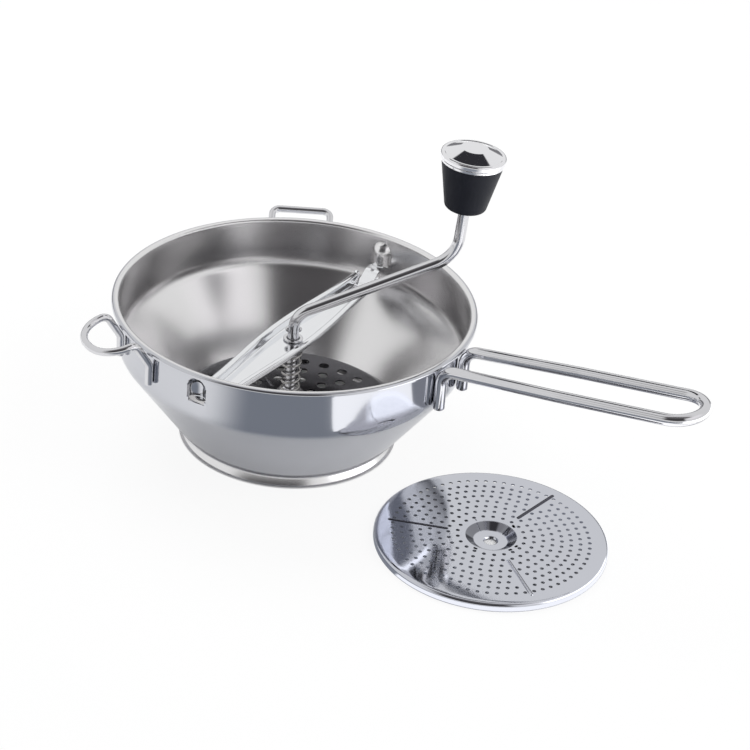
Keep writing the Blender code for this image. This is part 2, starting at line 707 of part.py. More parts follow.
def washers(shop, axis):
    """One washer on the bar's floor and one at each end of the spring."""
    top_bottom = BAR_FLOOR_TOP + CLEARANCE
    ring(shop, "top_washer", axis, BORE_RADIUS, TOP_WASHER_RADIUS,
         top_bottom, top_bottom + WASHER_THICKNESS, "polished")
    ring(shop, "upper_spring_washer", axis, BORE_RADIUS, SPRING_WASHER_RADIUS,
         UPPER_WASHER_BOTTOM, UPPER_WASHER_BOTTOM + WASHER_THICKNESS, "polished")
    ring(shop, "lower_spring_washer", axis, BORE_RADIUS, SPRING_WASHER_RADIUS,
         LOWER_WASHER_BOTTOM, LOWER_WASHER_BOTTOM + WASHER_THICKNESS, "polished")


def spring_points():
    """The coil's centre line: closed turns at both ends and even open turns between them."""
    low = SPRING_BOTTOM + SPRING_WIRE_RADIUS
    high = SPRING_TOP - SPRING_WIRE_RADIUS
    end_rise = SPRING_END_PITCH * SPRING_END_TURNS
    pitch = (high - low - 2 * end_rise) / SPRING_ACTIVE_TURNS
    turns = SPRING_ACTIVE_TURNS + 2 * SPRING_END_TURNS
    count = round(turns * SPRING_POINTS_PER_TURN)
    points = []
    for index in range(count + 1):
        turn = turns * index / count
        lower = min(turn, SPRING_END_TURNS)
        upper = max(0, turn - SPRING_END_TURNS - SPRING_ACTIVE_TURNS)
        open_turns = turn - lower - upper
        height = low + SPRING_END_PITCH * (lower + upper) + pitch * open_turns
        angle = math.tau * turn
        points.append(Vector((SPRING_MEAN_RADIUS * math.cos(angle),
                              SPRING_MEAN_RADIUS * math.sin(angle), height)))
    return points


def least_gap(points, radius, apart):
    """The smallest space between stretches of a wire that lie at least some points apart."""
    gaps = [(one - other).length - 2 * radius
            for index, one in enumerate(points) for other in points[index + apart:]]
    return min(gaps)


def spring(shop, axis):
    """The coil spring round the shaft, between the blade hub and the bar."""
    points = spring_points()
    gap = least_gap(points, SPRING_WIRE_RADIUS, SPRING_POINTS_PER_TURN // 2)
    print(f"spring: least gap to itself {gap:.5f} m")
    mesh = wire_mesh("spring", points, SPRING_WIRE_RADIUS, SPRING_BEVEL_RESOLUTION)
    smooth_mesh(mesh, 70.0)
    return shop.part("spring", mesh, "spring", axis)


def crank_rod(shop, crank_axis):
    """The bent rod, with a thinner spigot on top that carries the knob."""
    lean = math.radians(CRANK_LEAN_DEG)
    up = Vector((math.sin(lean), 0, math.cos(lean)))
    shoulder = KNOB_ORIGIN + up * SHOULDER_INSET
    corners = [
        (0, 0, ROD_BOTTOM),
        (0, 0, ELBOW_HEIGHT),
        (CRANK_ARM_REACH, 0, ELBOW_HEIGHT + CRANK_ARM_RISE),
        shoulder,
    ]
    points = rounded(corners, [CRANK_ELBOW_BEND, CRANK_UPPER_BEND])
    mesh = wire_mesh("crank_rod", points, CRANK_ROD_RADIUS, WIRE_BEVEL_RESOLUTION)
    rod = shop.part("crank_rod", mesh, "polished", crank_axis)
    spigot = prism_mesh("rod_spigot", SPIGOT_RADIUS, -OVERRUN, spigot_length(), SPIGOT_SIDES)
    spigot.transform(Matrix.Translation(shoulder) @ Matrix.Rotation(lean, 4, "Y"))
    add_boolean(rod, shop.cutter("rod_spigot", spigot, crank_axis), "UNION")
    hole = pin_mesh("pin_hole", PIN_RADIUS + PIN_CLEARANCE, CRANK_ROD_RADIUS + OVERRUN)
    add_boolean(rod, shop.cutter("pin_hole", hole, crank_axis), "DIFFERENCE")
    return rod


def spigot_length():
    """From the rod's shoulder up through the bush and the clip."""
    return CLEARANCE + BUSH_LENGTH + BUSH_FLANGE_THICKNESS + CLIP_THICKNESS + 3 * CLEARANCE


def pin_mesh(name, radius, half_length):
    """A cylinder across the shaft, along the crank arm, at the stop pin's height."""
    mesh = prism_mesh(name, radius, -half_length, half_length, PIN_SIDES)
    height = BAR_FLOOR_TOP + PIN_RISE
    mesh.transform(Matrix.Translation((0, 0, height)) @ Matrix.Rotation(math.pi / 2, 4, "Y"))
    return mesh


def stop_pin(shop, crank_axis):
    """The pin that keeps the shaft from dropping out of the bar."""
    mesh = pin_mesh("stop_pin", PIN_RADIUS, CRANK_ROD_RADIUS + PIN_STAND)
    smooth_mesh(mesh)
    return shop.part("stop_pin", mesh, "polished", crank_axis)


def blade(shop, crank_axis):
    """Half a round plate, tilted up from its scraping edge, pierced for the hub."""
    radius = DISC_RADIUS - BLADE_SIDE_GAP
    form = bmesh.new()
    bmesh.ops.create_circle(form, cap_ends=True, segments=BLADE_SIDES, radius=radius)
    everything = form.verts[:] + form.edges[:] + form.faces[:]
    bmesh.ops.bisect_plane(form, geom=everything, dist=MERGE, plane_co=(BLADE_EDGE_REACH, 0, 0),
                           plane_no=(1, 0, 0), clear_outer=True)
    lift = BLADE_EDGE_HEIGHT + BLADE_THICKNESS_UP / 2
    for vert in form.verts:
        vert.co.z = lift + (BLADE_EDGE_REACH - vert.co.x) * BLADE_SLOPE
    mesh = mesh_from(form, "scraper_blade")
    plate = shop.part("scraper_blade", mesh, "brushed", crank_axis,
                      turn=math.radians(BLADE_TURN_DEG))
    add_solidify(plate, BLADE_SHEET)
    hole = prism_mesh("blade_hole", HUB_RADIUS + CLEARANCE, DISC_TOP - OVERRUN,
                      BAR_FLOOR_TOP, HUB_SIDES)
    add_boolean(plate, shop.cutter("blade_hole", hole, crank_axis), "DIFFERENCE")
    return plate


def blade_hub(shop, crank_axis):
    """The sleeve that carries the blade on the rod and the spring on its top."""
    return ring(shop, "blade_hub", crank_axis, BORE_RADIUS, HUB_RADIUS, HUB_BOTTOM, HUB_TOP,
                "brushed", HUB_SIDES)


def pilot_nut(shop, crank_axis):
    """The six-sided nut under the blade, with a pilot that turns in the disc's centre hole."""
    nut = shop.part("pilot_nut", prism_mesh("pilot_nut", NUT_RADIUS, NUT_BOTTOM, NUT_TOP, NUT_SIDES),
                    "polished", crank_axis)
    pilot_radius = HUB_HOLE_RADIUS - PILOT_CLEARANCE
    pilot = prism_mesh("pilot", pilot_radius * PILOT_TIP_SHARE, NUT_BOTTOM - PILOT_LENGTH,
                       NUT_BOTTOM + OVERRUN, WASHER_SIDES, radius_top=pilot_radius)
    add_boolean(nut, shop.cutter("pilot", pilot, crank_axis), "UNION")
    thread = prism_mesh("nut_thread", BORE_RADIUS, NUT_TOP - NUT_THREAD_DEPTH, NUT_TOP + OVERRUN,
                        WASHER_SIDES)
    add_boolean(nut, shop.cutter("nut_thread", thread, crank_axis), "DIFFERENCE")
    return nut


def knob(shop, crank_axis):
    """The knob turns on the rod's spigot, held between the rod's shoulder and a clip."""
    knob_axis = shop.empty("knob_axis", crank_axis, KNOB_ORIGIN, lean=math.radians(CRANK_LEAN_DEG))
    bush_bottom = SHOULDER_INSET + CLEARANCE
    bush_inner = SPIGOT_RADIUS + CLEARANCE
    bush_outer = max(bush_inner + BUSH_WALL, CRANK_ROD_RADIUS + CLEARANCE)
    flange_bottom = bush_bottom + BUSH_LENGTH
    flange_top = flange_bottom + BUSH_FLANGE_THICKNESS
    flange_radius = bush_outer + BUSH_FLANGE
    bush_outline = [
        (flange_radius, flange_top),
        (flange_radius, flange_bottom),
        (bush_outer, flange_bottom),
        (bush_outer, bush_bottom),
        (bush_inner, bush_bottom),
        (bush_inner, flange_top),
    ]
    bush = shop.part("knob_bush", profile_mesh("knob_bush", bush_outline, closed=True),
                     "polished", knob_axis)
    add_screw(bush, WASHER_SIDES)
    clip_bottom = flange_top + CLEARANCE
    ring(shop, "knob_clip", knob_axis, SPIGOT_RADIUS + CLEARANCE, SPIGOT_RADIUS + CLIP_STAND,
         clip_bottom, clip_bottom + CLIP_THICKNESS, "polished")

    bore = bush_outer + CLEARANCE
    pocket_bottom = flange_bottom - CLEARANCE
    spigot_radius = CAP_RADIUS - CAP_SHEET - CLEARANCE
    body_top = KNOB_BODY_HEIGHT + CAP_BAND - CAP_SHEET - CLEARANCE
    body_outline = [
        (POCKET_RADIUS, body_top),
        (spigot_radius - CAP_ROUND, body_top),
        (spigot_radius - CAP_ROUND, KNOB_BODY_HEIGHT),
        (KNOB_TOP_RADIUS, KNOB_BODY_HEIGHT - CLEARANCE),
        (KNOB_FOOT_RADIUS, 0),
        (bore, 0),
        (bore, pocket_bottom),
        (POCKET_RADIUS, pocket_bottom),
    ]
    body_bends = [0, 0, 0, KNOB_FOOT_ROUND, 0, 0]
    body = shop.part("knob_body", profile_mesh("knob_body", body_outline, body_bends, closed=True),
                     "soft_black", knob_axis)
    add_screw(body, KNOB_STEPS)

    cap_bottom = KNOB_BODY_HEIGHT
    cap_edge = cap_bottom + CAP_BAND
    cap_top = cap_edge + CAP_CONE
    inner_radius = CAP_RADIUS - CAP_SHEET
    cap_outline = [
        (0, cap_top),
        (CAP_FLAT_RADIUS, cap_top),
        (CAP_RADIUS, cap_edge),
        (CAP_RADIUS, cap_bottom),
        (inner_radius, cap_bottom),
        (inner_radius, cap_edge - CAP_SHEET),
        (CAP_FLAT_RADIUS, cap_top - CAP_SHEET),
        (0, cap_top - CAP_SHEET),
    ]
    cap_bends = [CAP_ROUND, CAP_ROUND, 0, 0, 0, 0]
    cap = shop.part("knob_cap", profile_mesh("knob_cap", cap_outline, cap_bends),
                    "polished", knob_axis)
    add_screw(cap, KNOB_STEPS)
    return knob_axis


def stand_on_origin(axis, parts):
    """Moves the whole mill so that the middle of its plan lies on the origin."""
    bpy.context.view_layer.update()
    graph = bpy.context.evaluated_depsgraph_get()
    corners = []
    for obj in parts.objects:
        if obj.type != "MESH":
            continue
        shown = obj.evaluated_get(graph)
        mesh = shown.to_mesh()
        corners += [obj.matrix_world @ vert.co for vert in mesh.vertices]
        shown.to_mesh_clear()
    low = Vector(min(corner[side] for corner in corners) for side in range(3))
    high = Vector(max(corner[side] for corner in corners) for side in range(3))
    middle = (low + high) / 2
    axis.location = (-middle.x, -middle.y, 0)
    bpy.context.view_layer.update()
    print(f"mill axis at {axis.location.x:.6f}, {axis.location.y:.6f}; size",
          *(f"{size:.4f}" for size in high - low))


def main():
    """Builds every piece on its axis and stands the mill on the origin."""
    clear_scene()
    shop = Workshop()
    axis = shop.empty("mill_axis")
    crank_axis = shop.empty("crank_axis", axis, turn=math.radians(CRANK_TURN_DEG))
    hopper(shop, axis)
    long_handle(shop, axis)
    rests(shop, axis)
    discs(shop, axis)
    crossbar(shop, axis)
    washers(shop, axis)
    spring(shop, axis)
    crank_rod(shop, crank_axis)
    stop_pin(shop, crank_axis)
    blade(shop, crank_axis)
    blade_hub(shop, crank_axis)
    pilot_nut(shop, crank_axis)
    knob(shop, crank_axis)
    stand_on_origin(axis, shop.parts)


if __name__ == "__main__":
    main()
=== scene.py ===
"""Food mill, dressed for its picture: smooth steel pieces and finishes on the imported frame.

Lengths are in metres and +Z is up. Sizes that the frame gives are read from it, and the others
repeat those of the solids. Pieces are worked out round the mill's axis or the knob's, and then
moved there.
"""
import json
import math

import bmesh
import bpy
import numpy as np
from bpy.props import FloatProperty, FloatVectorProperty, IntProperty, PointerProperty
from mathutils import Matrix, Vector
from mathutils.geometry import delaunay_2d_cdt

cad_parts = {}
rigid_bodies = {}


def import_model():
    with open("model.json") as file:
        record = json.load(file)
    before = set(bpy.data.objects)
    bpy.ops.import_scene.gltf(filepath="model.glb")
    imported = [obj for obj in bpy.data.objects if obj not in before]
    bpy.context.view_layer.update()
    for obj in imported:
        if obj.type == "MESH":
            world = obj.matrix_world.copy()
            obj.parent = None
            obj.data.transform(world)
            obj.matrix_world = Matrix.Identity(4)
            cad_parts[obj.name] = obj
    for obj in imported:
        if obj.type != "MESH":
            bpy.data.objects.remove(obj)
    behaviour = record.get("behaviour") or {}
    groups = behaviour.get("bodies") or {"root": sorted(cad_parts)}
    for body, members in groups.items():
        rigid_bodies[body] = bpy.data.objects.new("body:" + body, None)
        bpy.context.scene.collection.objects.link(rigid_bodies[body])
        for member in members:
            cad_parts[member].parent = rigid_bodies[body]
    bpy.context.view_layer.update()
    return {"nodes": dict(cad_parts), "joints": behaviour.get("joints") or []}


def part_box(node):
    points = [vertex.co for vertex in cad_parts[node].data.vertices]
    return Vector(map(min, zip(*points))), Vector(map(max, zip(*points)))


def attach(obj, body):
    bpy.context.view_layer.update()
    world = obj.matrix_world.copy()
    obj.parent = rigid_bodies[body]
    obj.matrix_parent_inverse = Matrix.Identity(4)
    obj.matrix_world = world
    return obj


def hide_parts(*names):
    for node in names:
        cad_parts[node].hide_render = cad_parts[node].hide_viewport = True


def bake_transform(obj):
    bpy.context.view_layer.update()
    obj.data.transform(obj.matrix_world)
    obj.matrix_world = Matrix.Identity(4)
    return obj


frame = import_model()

bl_info = {
    "name": "Food mill",
    "version": (1, 0, 0),
    "blender": (4, 5, 0),
    "location": "View3D > Sidebar > Food mill",
    "description": "Builds a hand food mill and its plain studio",
    "category": "Object",
}

JOINTS = {joint["name"]: joint for joint in frame["joints"]}
AXIS = np.array(JOINTS["crank_turn"]["pos_m"])
BAR_FLOOR = AXIS[2]
MILL_AXIS = np.array([AXIS[0], AXIS[1], 0.0])
KNOB_ORIGIN = np.array(JOINTS["knob_spin"]["pos_m"])
KNOB_UP = Vector(JOINTS["knob_spin"]["axis"])

# Hopper
RIM_RADIUS = 0.1020
RIM_HEIGHT = 0.0850
RIM_LIP_WIDTH = 0.0036
RIM_LIP_DEPTH = 0.0022
RIM_ROUND = 0.0013
BAND_RADIUS = RIM_RADIUS - RIM_LIP_WIDTH
SHOULDER_HEIGHT = 0.0568
SHOULDER_ROUND = 0.0140
CONE_FOOT_RADIUS = 0.0625
LEDGE_HEIGHT = 0.0070
LEDGE_ROUND = 0.0012
NECK_WIDTH = 0.0040
NECK_HEIGHT = 0.0040
FOOT_RADIUS = 0.0621
FOOT_FLANGE = 0.0020
FOOT_ROUND = 0.0008
FOOT_TOP = 0.0062
HOOD_BASE = 0.0673
HOOD_TURNS = (math.radians(90), math.radians(-90))
HOOD_HALF_WIDTH = 0.0062
HOOD_HEIGHT = 0.0130
HOOD_DEPTH = 0.0052
HOOD_MOUTH_DROP = 0.0018
HOOD_STRAIGHT = 0.0058
HOOD_BELLY = 0.60
HOOD_MOUTH_SHARE = 0.8

# Wires
LEG_GAP = 0.0003
HANDLE_RADIUS = 0.00325
HANDLE_LEG_SPACING = 0.0264
HANDLE_SPREAD = 0.0300
HANDLE_SPREAD_REACH = 0.0680
HANDLE_SPREAD_BEND = 0.0680
HANDLE_REACH = 0.24495
HANDLE_LEG_BOTTOM = 0.0575
HANDLE_ELBOW_HEIGHT = 0.0816
HANDLE_ELBOW_BEND = 0.0090
HANDLE_TIP_HEIGHT = 0.1020
REST_RADIUS = 0.0021
REST_LEG_SPACING = 0.0344
REST_LEG_BOTTOM = 0.0638
REST_ELBOW_HEIGHT = 0.0760
REST_ELBOW_BEND = 0.0060
LEFT_REST_TURN = math.radians(-118.5)
LEFT_REST_PATH = ((0.0087, 0.0172, 0.0904), (0.02785, 0.0184, 0.0858))
LEFT_REST_BENDS = (0.0050, 0.0162)
REAR_REST_TURN = math.radians(120)
REAR_REST_PATH = ((0.0151, 0.0172, 0.0834),)
REAR_REST_BENDS = (0.0045,)

# Crossbar
BAR_SHEET = 0.0012
BAR_HALF_WIDTH = 0.0108
BAR_END_HALF_WIDTH = 0.0062
BAR_FOLD = 0.0016
BAR_LIP = 0.0023
BAR_LIP_ROUND = 0.0008
BAR_HEM = 0.0008
BAR_HEM_QUARTERS = 1.9
BAR_FLANGE = 0.0057
BAR_FLANGE_END = 0.0032
BAR_SAG = 0.0074
BAR_LENGTH = 0.0958
TONGUE_LENGTH = 0.0130
TONGUE_HALF_WIDTH = 0.0043
TONGUE_NOSE = 0.0040
BAR_RISE = (0.0760, 0.0900)
SHOULDER = BAR_LENGTH - TONGUE_LENGTH
TONGUE_HOLE_RADIUS = 0.0011
TONGUE_HOLE_INSET = 0.0050
CUTTER_SPAN = (0.05, 0.08)

# Crank and what stands round the shaft
ROD_RADIUS = 0.00325
SHAFT_CLEARANCE = 0.0005
SHAFT_BORE = ROD_RADIUS + SHAFT_CLEARANCE
RING_EDGE = 0.0004
CRANK_TURN = math.radians(36)
ELBOW_RISE = 0.0154
ELBOW_BEND = 0.0130
ARM_REACH = 0.0879
ARM_RISE = 0.0390
UPPER_BEND = 0.0200
LEAN = math.radians(3.6)
SHOULDER_INSET = 0.0020
SPIGOT_RADIUS = 0.0025
SPIGOT_LENGTH = 0.0252
PIN_RISE = 0.0064
PIN_RADIUS = 0.0015
PIN_STAND = 0.0014
BLADE_TURN = math.radians(84)
BLADE_TILT = math.radians(20)
BLADE_SHEET = 0.0012
BLADE_EDGE_REACH = 0.0110
BLADE_SIDE_GAP = 0.0045
BLADE_HUB_GAP = 0.0003
SPRING_RADIUS = 0.0051
SPRING_TURNS = 6.5
SPRING_END_TURNS = 0.75
SPRING_END_PITCH = 0.0019
NUT_CORNER = 0.0057
NUT_FACE = 0.0050
NUT_CHAMFER = 0.0004
PILOT_HEIGHT = 0.0020
PILOT_RADIUS = 0.0025
PILOT_TIP_RADIUS = 0.0017
PILOT_OVERLAP = 0.0003

# Discs
DISC_RADIUS = 0.06345
DISC_SHEET = 0.0008
DISC_DEPTH = 0.0050
DISC_ROUND = 0.0018
DISC_BORE = 0.0042
DISC_BORE_TURN = 0.0005
DISC_HEM = 0.0008
DISC_MARGIN = 0.0020
CUP_DEPTH = 0.0040
CUP_FLAT_RADIUS = 0.0092
CUP_TOP_RADIUS = 0.0142
CUP_MARGIN = 0.0019
RIB_SPAN = (0.36, 0.90)
RIB_COUNT = 3
RIB_HEIGHT = 0.0009
RIB_HALF_WIDTH = 0.0016
RIB_END = 0.0014
RIB_CLEAR = 0.0014
COARSE_SPAN = (0.0215, 0.0520)
COARSE_PITCH = 0.0112
COARSE_TURN = math.radians(25)
FINE_SPAN = (0.0182, 0.0533)
FINE_PITCH = 0.0050
FINE_TURN = math.radians(80)

# Knob
KNOB_HEIGHT = 0.0282
KNOB_FOOT = 0.0114
KNOB_TOP = 0.0172
CAP_RADIUS = 0.0182
CAP_BAND = 0.0050
CAP_CONE = 0.00319
CAP_FLAT = 0.0077
CAP_WALL = 0.0008
CAP_BEAD = CAP_RADIUS - 0.0024
CAP_UNDERCUT = CAP_RADIUS - 0.0006
CAP_SKIRT = CAP_RADIUS - 0.0012
CAP_SEAT = CAP_RADIUS - 0.0018
CAP_SEAT_DROP = 0.0011
KNOB_BORE = 0.0036
KNOB_POCKET = 0.0076
KNOB_POCKET_FLOOR = 0.0240

# How finely curves are cut
ARC_STEP = math.radians(6)
MERGE = 0.000002
SHARP = math.radians(32)

# Shading: brushed lines to a metre of turned steel, and how fast a mask changes over a metre
TURNING_LINES = 5200.0
MASK_SLOPE = 900.0


# Shapes as arrays

def unit(vectors):
    """Each vector divided by its own length."""
    vectors = np.asarray(vectors, float)
    return vectors / np.linalg.norm(vectors, axis=-1, keepdims=True)


def rounded(corners, bends, step=ARC_STEP):
    """Straight runs through the corners, each corner a circle arc that touches both runs.

    An arc from s to e about its centre is (s sin(sweep - t) + e sin t) / sin(sweep), for t from 0
    to the sweep.
    """
    corners = np.asarray(corners, float)
    parts = [corners[:1]]
    for before, here, after, bend in zip(corners, corners[1:], corners[2:], bends):
        back, ahead = unit(before - here), unit(after - here)
        half = math.acos(np.clip(back @ ahead, -1, 1)) / 2
        if bend <= 0 or half > math.pi / 2 - MERGE:
            parts.append(here[None])
            continue
        centre = here + unit(back + ahead) * bend / math.sin(half)
        start = here + back * bend / math.tan(half) - centre
        end = here + ahead * bend / math.tan(half) - centre
        sweep = math.pi - 2 * half
        turn = np.linspace(0, sweep, math.ceil(sweep / step) + 1)[:, None]
        parts.append(centre + (start * np.sin(sweep - turn) + end * np.sin(turn)) / math.sin(sweep))
    parts.append(corners[-1:])
    path = np.concatenate(parts)
    apart = np.linalg.norm(np.diff(path, axis=0), axis=1) > MERGE
    return path[np.concatenate([[True], apart])]


def run_lengths(path):
    """How far along the path each of its points lies."""
    return np.concatenate([[0], np.cumsum(np.linalg.norm(np.diff(path, axis=0), axis=1))])


def sampled(values, along, at):
    """Rows of values at the given distances, straight between the rows that are known."""
    return np.stack([np.interp(at, along, column) for column in values.T], -1)


def refined(path, step):
    """The path with extra points, so that no run is longer than the step."""
    along = run_lengths(path)
    extra = np.arange(step, along[-1], step)
    near = np.abs(extra[:, None] - along[None, :]).min(axis=1) < step / 3
    return sampled(path, along, np.sort(np.concatenate([along, extra[~near]])))


def polar(radius, turn, height=0.0):
    """Points at distances from Z, turns about it and heights: (r cos t, r sin t, h)."""
    x, y = radius * np.cos(turn), radius * np.sin(turn)
    return np.stack(np.broadcast_arrays(x, y, height), -1)


def lathe(profile, count):
    """A profile of (radius, height) turned round Z, with the seam doubled."""
    turn = np.linspace(0, math.tau, count + 1)[None, :]
    return polar(profile[:, :1], turn, profile[:, 1:])


def ring_profile(inner, outer, bottom, top, edge):
    """The closed outline of a washer or sleeve, with its four corners rounded to the edge."""
    middle = (bottom + top) / 2
    corners = [(inner, middle), (inner, top), (outer, top), (outer, bottom), (inner, bottom),
               (inner, middle)]
    return rounded(corners, [edge] * 4, math.radians(30))


def swept(path, radius, edge, sides=24, step=0.0015):
    """A round wire along a path, its ends flat with an edge rounded to the given radius.

    At each station the circle lies across the path: p + r (a cos t + b sin t). The side a is
    carried along with the least turn, and b is the tangent crossed with it. Near an end the
    radius is R - e + e sin q at a distance of e (1 - cos q) from the end.
    """
    path = refined(path, step)
    along = run_lengths(path)
    length = along[-1]
    quarter = np.linspace(0, math.pi / 2, 6)
    inset, shrink = edge * (1 - np.cos(quarter)), edge * (1 - np.sin(quarter))
    inner = along[(along > edge + step / 4) & (along < length - edge - step / 4)]
    at = np.concatenate([[0], inset, inner, (length - inset)[::-1], [length]])
    radii = np.concatenate([[0], radius - shrink, np.full(len(inner), radius),
                            (radius - shrink)[::-1], [0]])
    tangents = unit(np.gradient(path, along, axis=0))
    tangent = unit(sampled(tangents, along, at))
    centre = sampled(path, along, at)
    side = np.empty_like(centre)
    carried = np.cross(tangent[0], (0.36, 0.48, 0.80))
    for index, direction in enumerate(tangent):
        carried = unit(carried - direction * (carried @ direction))
        side[index] = carried
    other = np.cross(tangent, side)
    turn = np.linspace(0, math.tau, sides + 1)[None, :, None]
    around = side[:, None] * np.cos(turn) + other[:, None] * np.sin(turn)
    points = centre[:, None] + radii[:, None, None] * around
    flow = np.stack(np.broadcast_arrays(turn[:, :, 0] * radius, at[:, None]), -1)
    return points, flow


def turned(points, turn):
    """Points turned about Z."""
    cosine, sine = math.cos(turn), math.sin(turn)
    x, y, z = points[..., 0], points[..., 1], points[..., 2]
    return np.stack([x * cosine - y * sine, x * sine + y * cosine, z], -1)


def on_axis(points, turn=0.0):
    """Points worked out round the mill's axis, turned about it and stood in the frame."""
    return turned(points, turn) + MILL_AXIS


def on_knob(points):
    """Points worked out round the knob's own axis, leant and stood on the crank."""
    lean = np.array(KNOB_UP.to_track_quat("Z", "Y").to_matrix())
    return points @ lean.T + KNOB_ORIGIN


def middle_of(node):
    """The middle of a node's box."""
    low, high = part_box(node)
    return (low + high) / 2


def smooth_step(share):
    """Rises from 0 to 1 with level ends: s s (3 - 2 s)."""
    share = np.clip(share, 0, 1)
    return share * share * (3 - 2 * share)


# Meshes from arrays

class Surfaces:
    """Collects grids and plates, and makes one mesh of them."""

    def __init__(self):
        self.points = []
        self.faces = []
        self.flow = []
        self.count = 0

    def add(self, points, faces, flow=None):
        """Adds points, faces as rows of corner numbers, and each point's place in the flow map."""
        self.points.append(points)
        self.faces += (np.asarray(faces) + self.count).tolist()
        self.flow.append(points[:, :2] if flow is None else flow)
        self.count += len(points)
        return self

    def grid(self, points, flow=None, keep=None):
        """Adds a grid of points. The mask says which of its squares are kept."""
        rows, columns = points.shape[:2]
        first = np.arange(rows - 1)[:, None] * columns + np.arange(columns - 1)[None, :]
        faces = np.stack([first, first + 1, first + columns + 1, first + columns], -1)
        faces = faces.reshape(-1, 4) if keep is None else faces[keep]
        flat_flow = None if flow is None else flow.reshape(-1, 2)
        return self.add(points.reshape(-1, 3), faces, flat_flow)

    def mesh(self, name):
        """The mesh, with its seams and poles closed and its faces outwards."""
        mesh = bpy.data.meshes.new(name)
        mesh.from_pydata(np.concatenate(self.points).tolist(), [], self.faces)
        flow = np.concatenate(self.flow)
        corner = np.empty(len(mesh.loops), int)
        mesh.loops.foreach_get("vertex_index", corner)
        layer = mesh.uv_layers.new(name="Flow")
        layer.data.foreach_set("uv", flow[corner].astype(np.float32).ravel())
        form = bmesh.new()
        form.from_mesh(mesh)
        bmesh.ops.remove_doubles(form, verts=form.verts, dist=MERGE)
        bmesh.ops.recalc_face_normals(form, faces=form.faces)
        form.to_mesh(mesh)
        form.free()
        return mesh


def plate(outline, holes, cut):
    """A flat plate from loops of (x, y), as points and triangles.

    The loops are joined by a constrained Delaunay net, and the triangles whose middles the given
    test cuts away are left out.
    """
    loops = [outline] + list(holes)
    points = np.concatenate(loops)
    starts = np.cumsum([0] + [len(loop) for loop in loops])
    edges = np.concatenate([
        np.stack([np.arange(len(loop)), (np.arange(len(loop)) + 1) % len(loop)], -1) + start
        for loop, start in zip(loops, starts)])
    vectors = [Vector(point) for point in points.tolist()]
    net = delaunay_2d_cdt(vectors, edges.tolist(), [], 0, MERGE)
    flat = np.array([tuple(point) for point in net[0]])
    faces = np.array(net[2])
    kept = ~cut(flat[faces].mean(axis=1))
    return flat, faces[kept]


def circle(radius, count, centre=(0.0, 0.0)):
    """Points round a circle."""
    turn = np.arange(count) * math.tau / count
    return polar(radius, turn)[:, :2] + centre


def baked(obj):
    """Writes what the modifiers show into the object's own mesh."""
    graph = bpy.context.evaluated_depsgraph_get()
    mesh = bpy.data.meshes.new_from_object(obj.evaluated_get(graph))
    obj.modifiers.clear()
    obj.data = mesh


def show(name, surfaces, finish, body, nodes=(), wall=0.0, cutters=()):
    """Puts a piece in the scene: its wall, its cuts, its shading, its finish and its body."""
    obj = bpy.data.objects.new(name, surfaces.mesh(name))
    bpy.context.scene.collection.objects.link(obj)
    if wall:
        solid = obj.modifiers.new("wall", "SOLIDIFY")
        solid.thickness = wall
        solid.offset = 0.0
        solid.use_even_offset = True
    tools = [bpy.data.objects.new("cutter", mesh) for mesh in cutters]
    for tool in tools:
        bpy.context.scene.collection.objects.link(tool)
        cut = obj.modifiers.new("cut", "BOOLEAN")
        cut.operation = "DIFFERENCE"
        cut.solver = "EXACT"
        cut.object = tool
    if wall or tools:
        baked(obj)
    for tool in tools:
        bpy.data.objects.remove(tool, do_unlink=True)
    obj.data.shade_smooth()
    obj.data.set_sharp_from_angle(angle=SHARP)
    obj.data.materials.clear()
    obj.data.materials.append(finish)
    if body:
        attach(obj, body)
    if nodes:
        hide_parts(*nodes)
    return obj


# Finishes

def arithmetic(operation, reflected=False):
    """A method that adds one Math node. A reflected one has its values the other way round."""
    def method(self, other):
        values = (other, self) if reflected else (self, other)
        return self.shading.maths(operation, *values)
    return method


class Socket:
    """An output in a shader tree. Arithmetic on it adds Math nodes."""

    def __init__(self, shading, socket):
        self.shading = shading
        self.socket = socket

    __add__ = __radd__ = arithmetic("ADD")
    __sub__ = arithmetic("SUBTRACT")
    __rsub__ = arithmetic("SUBTRACT", reflected=True)
    __mul__ = __rmul__ = arithmetic("MULTIPLY")
    __truediv__ = arithmetic("DIVIDE")
    __pow__ = arithmetic("POWER")


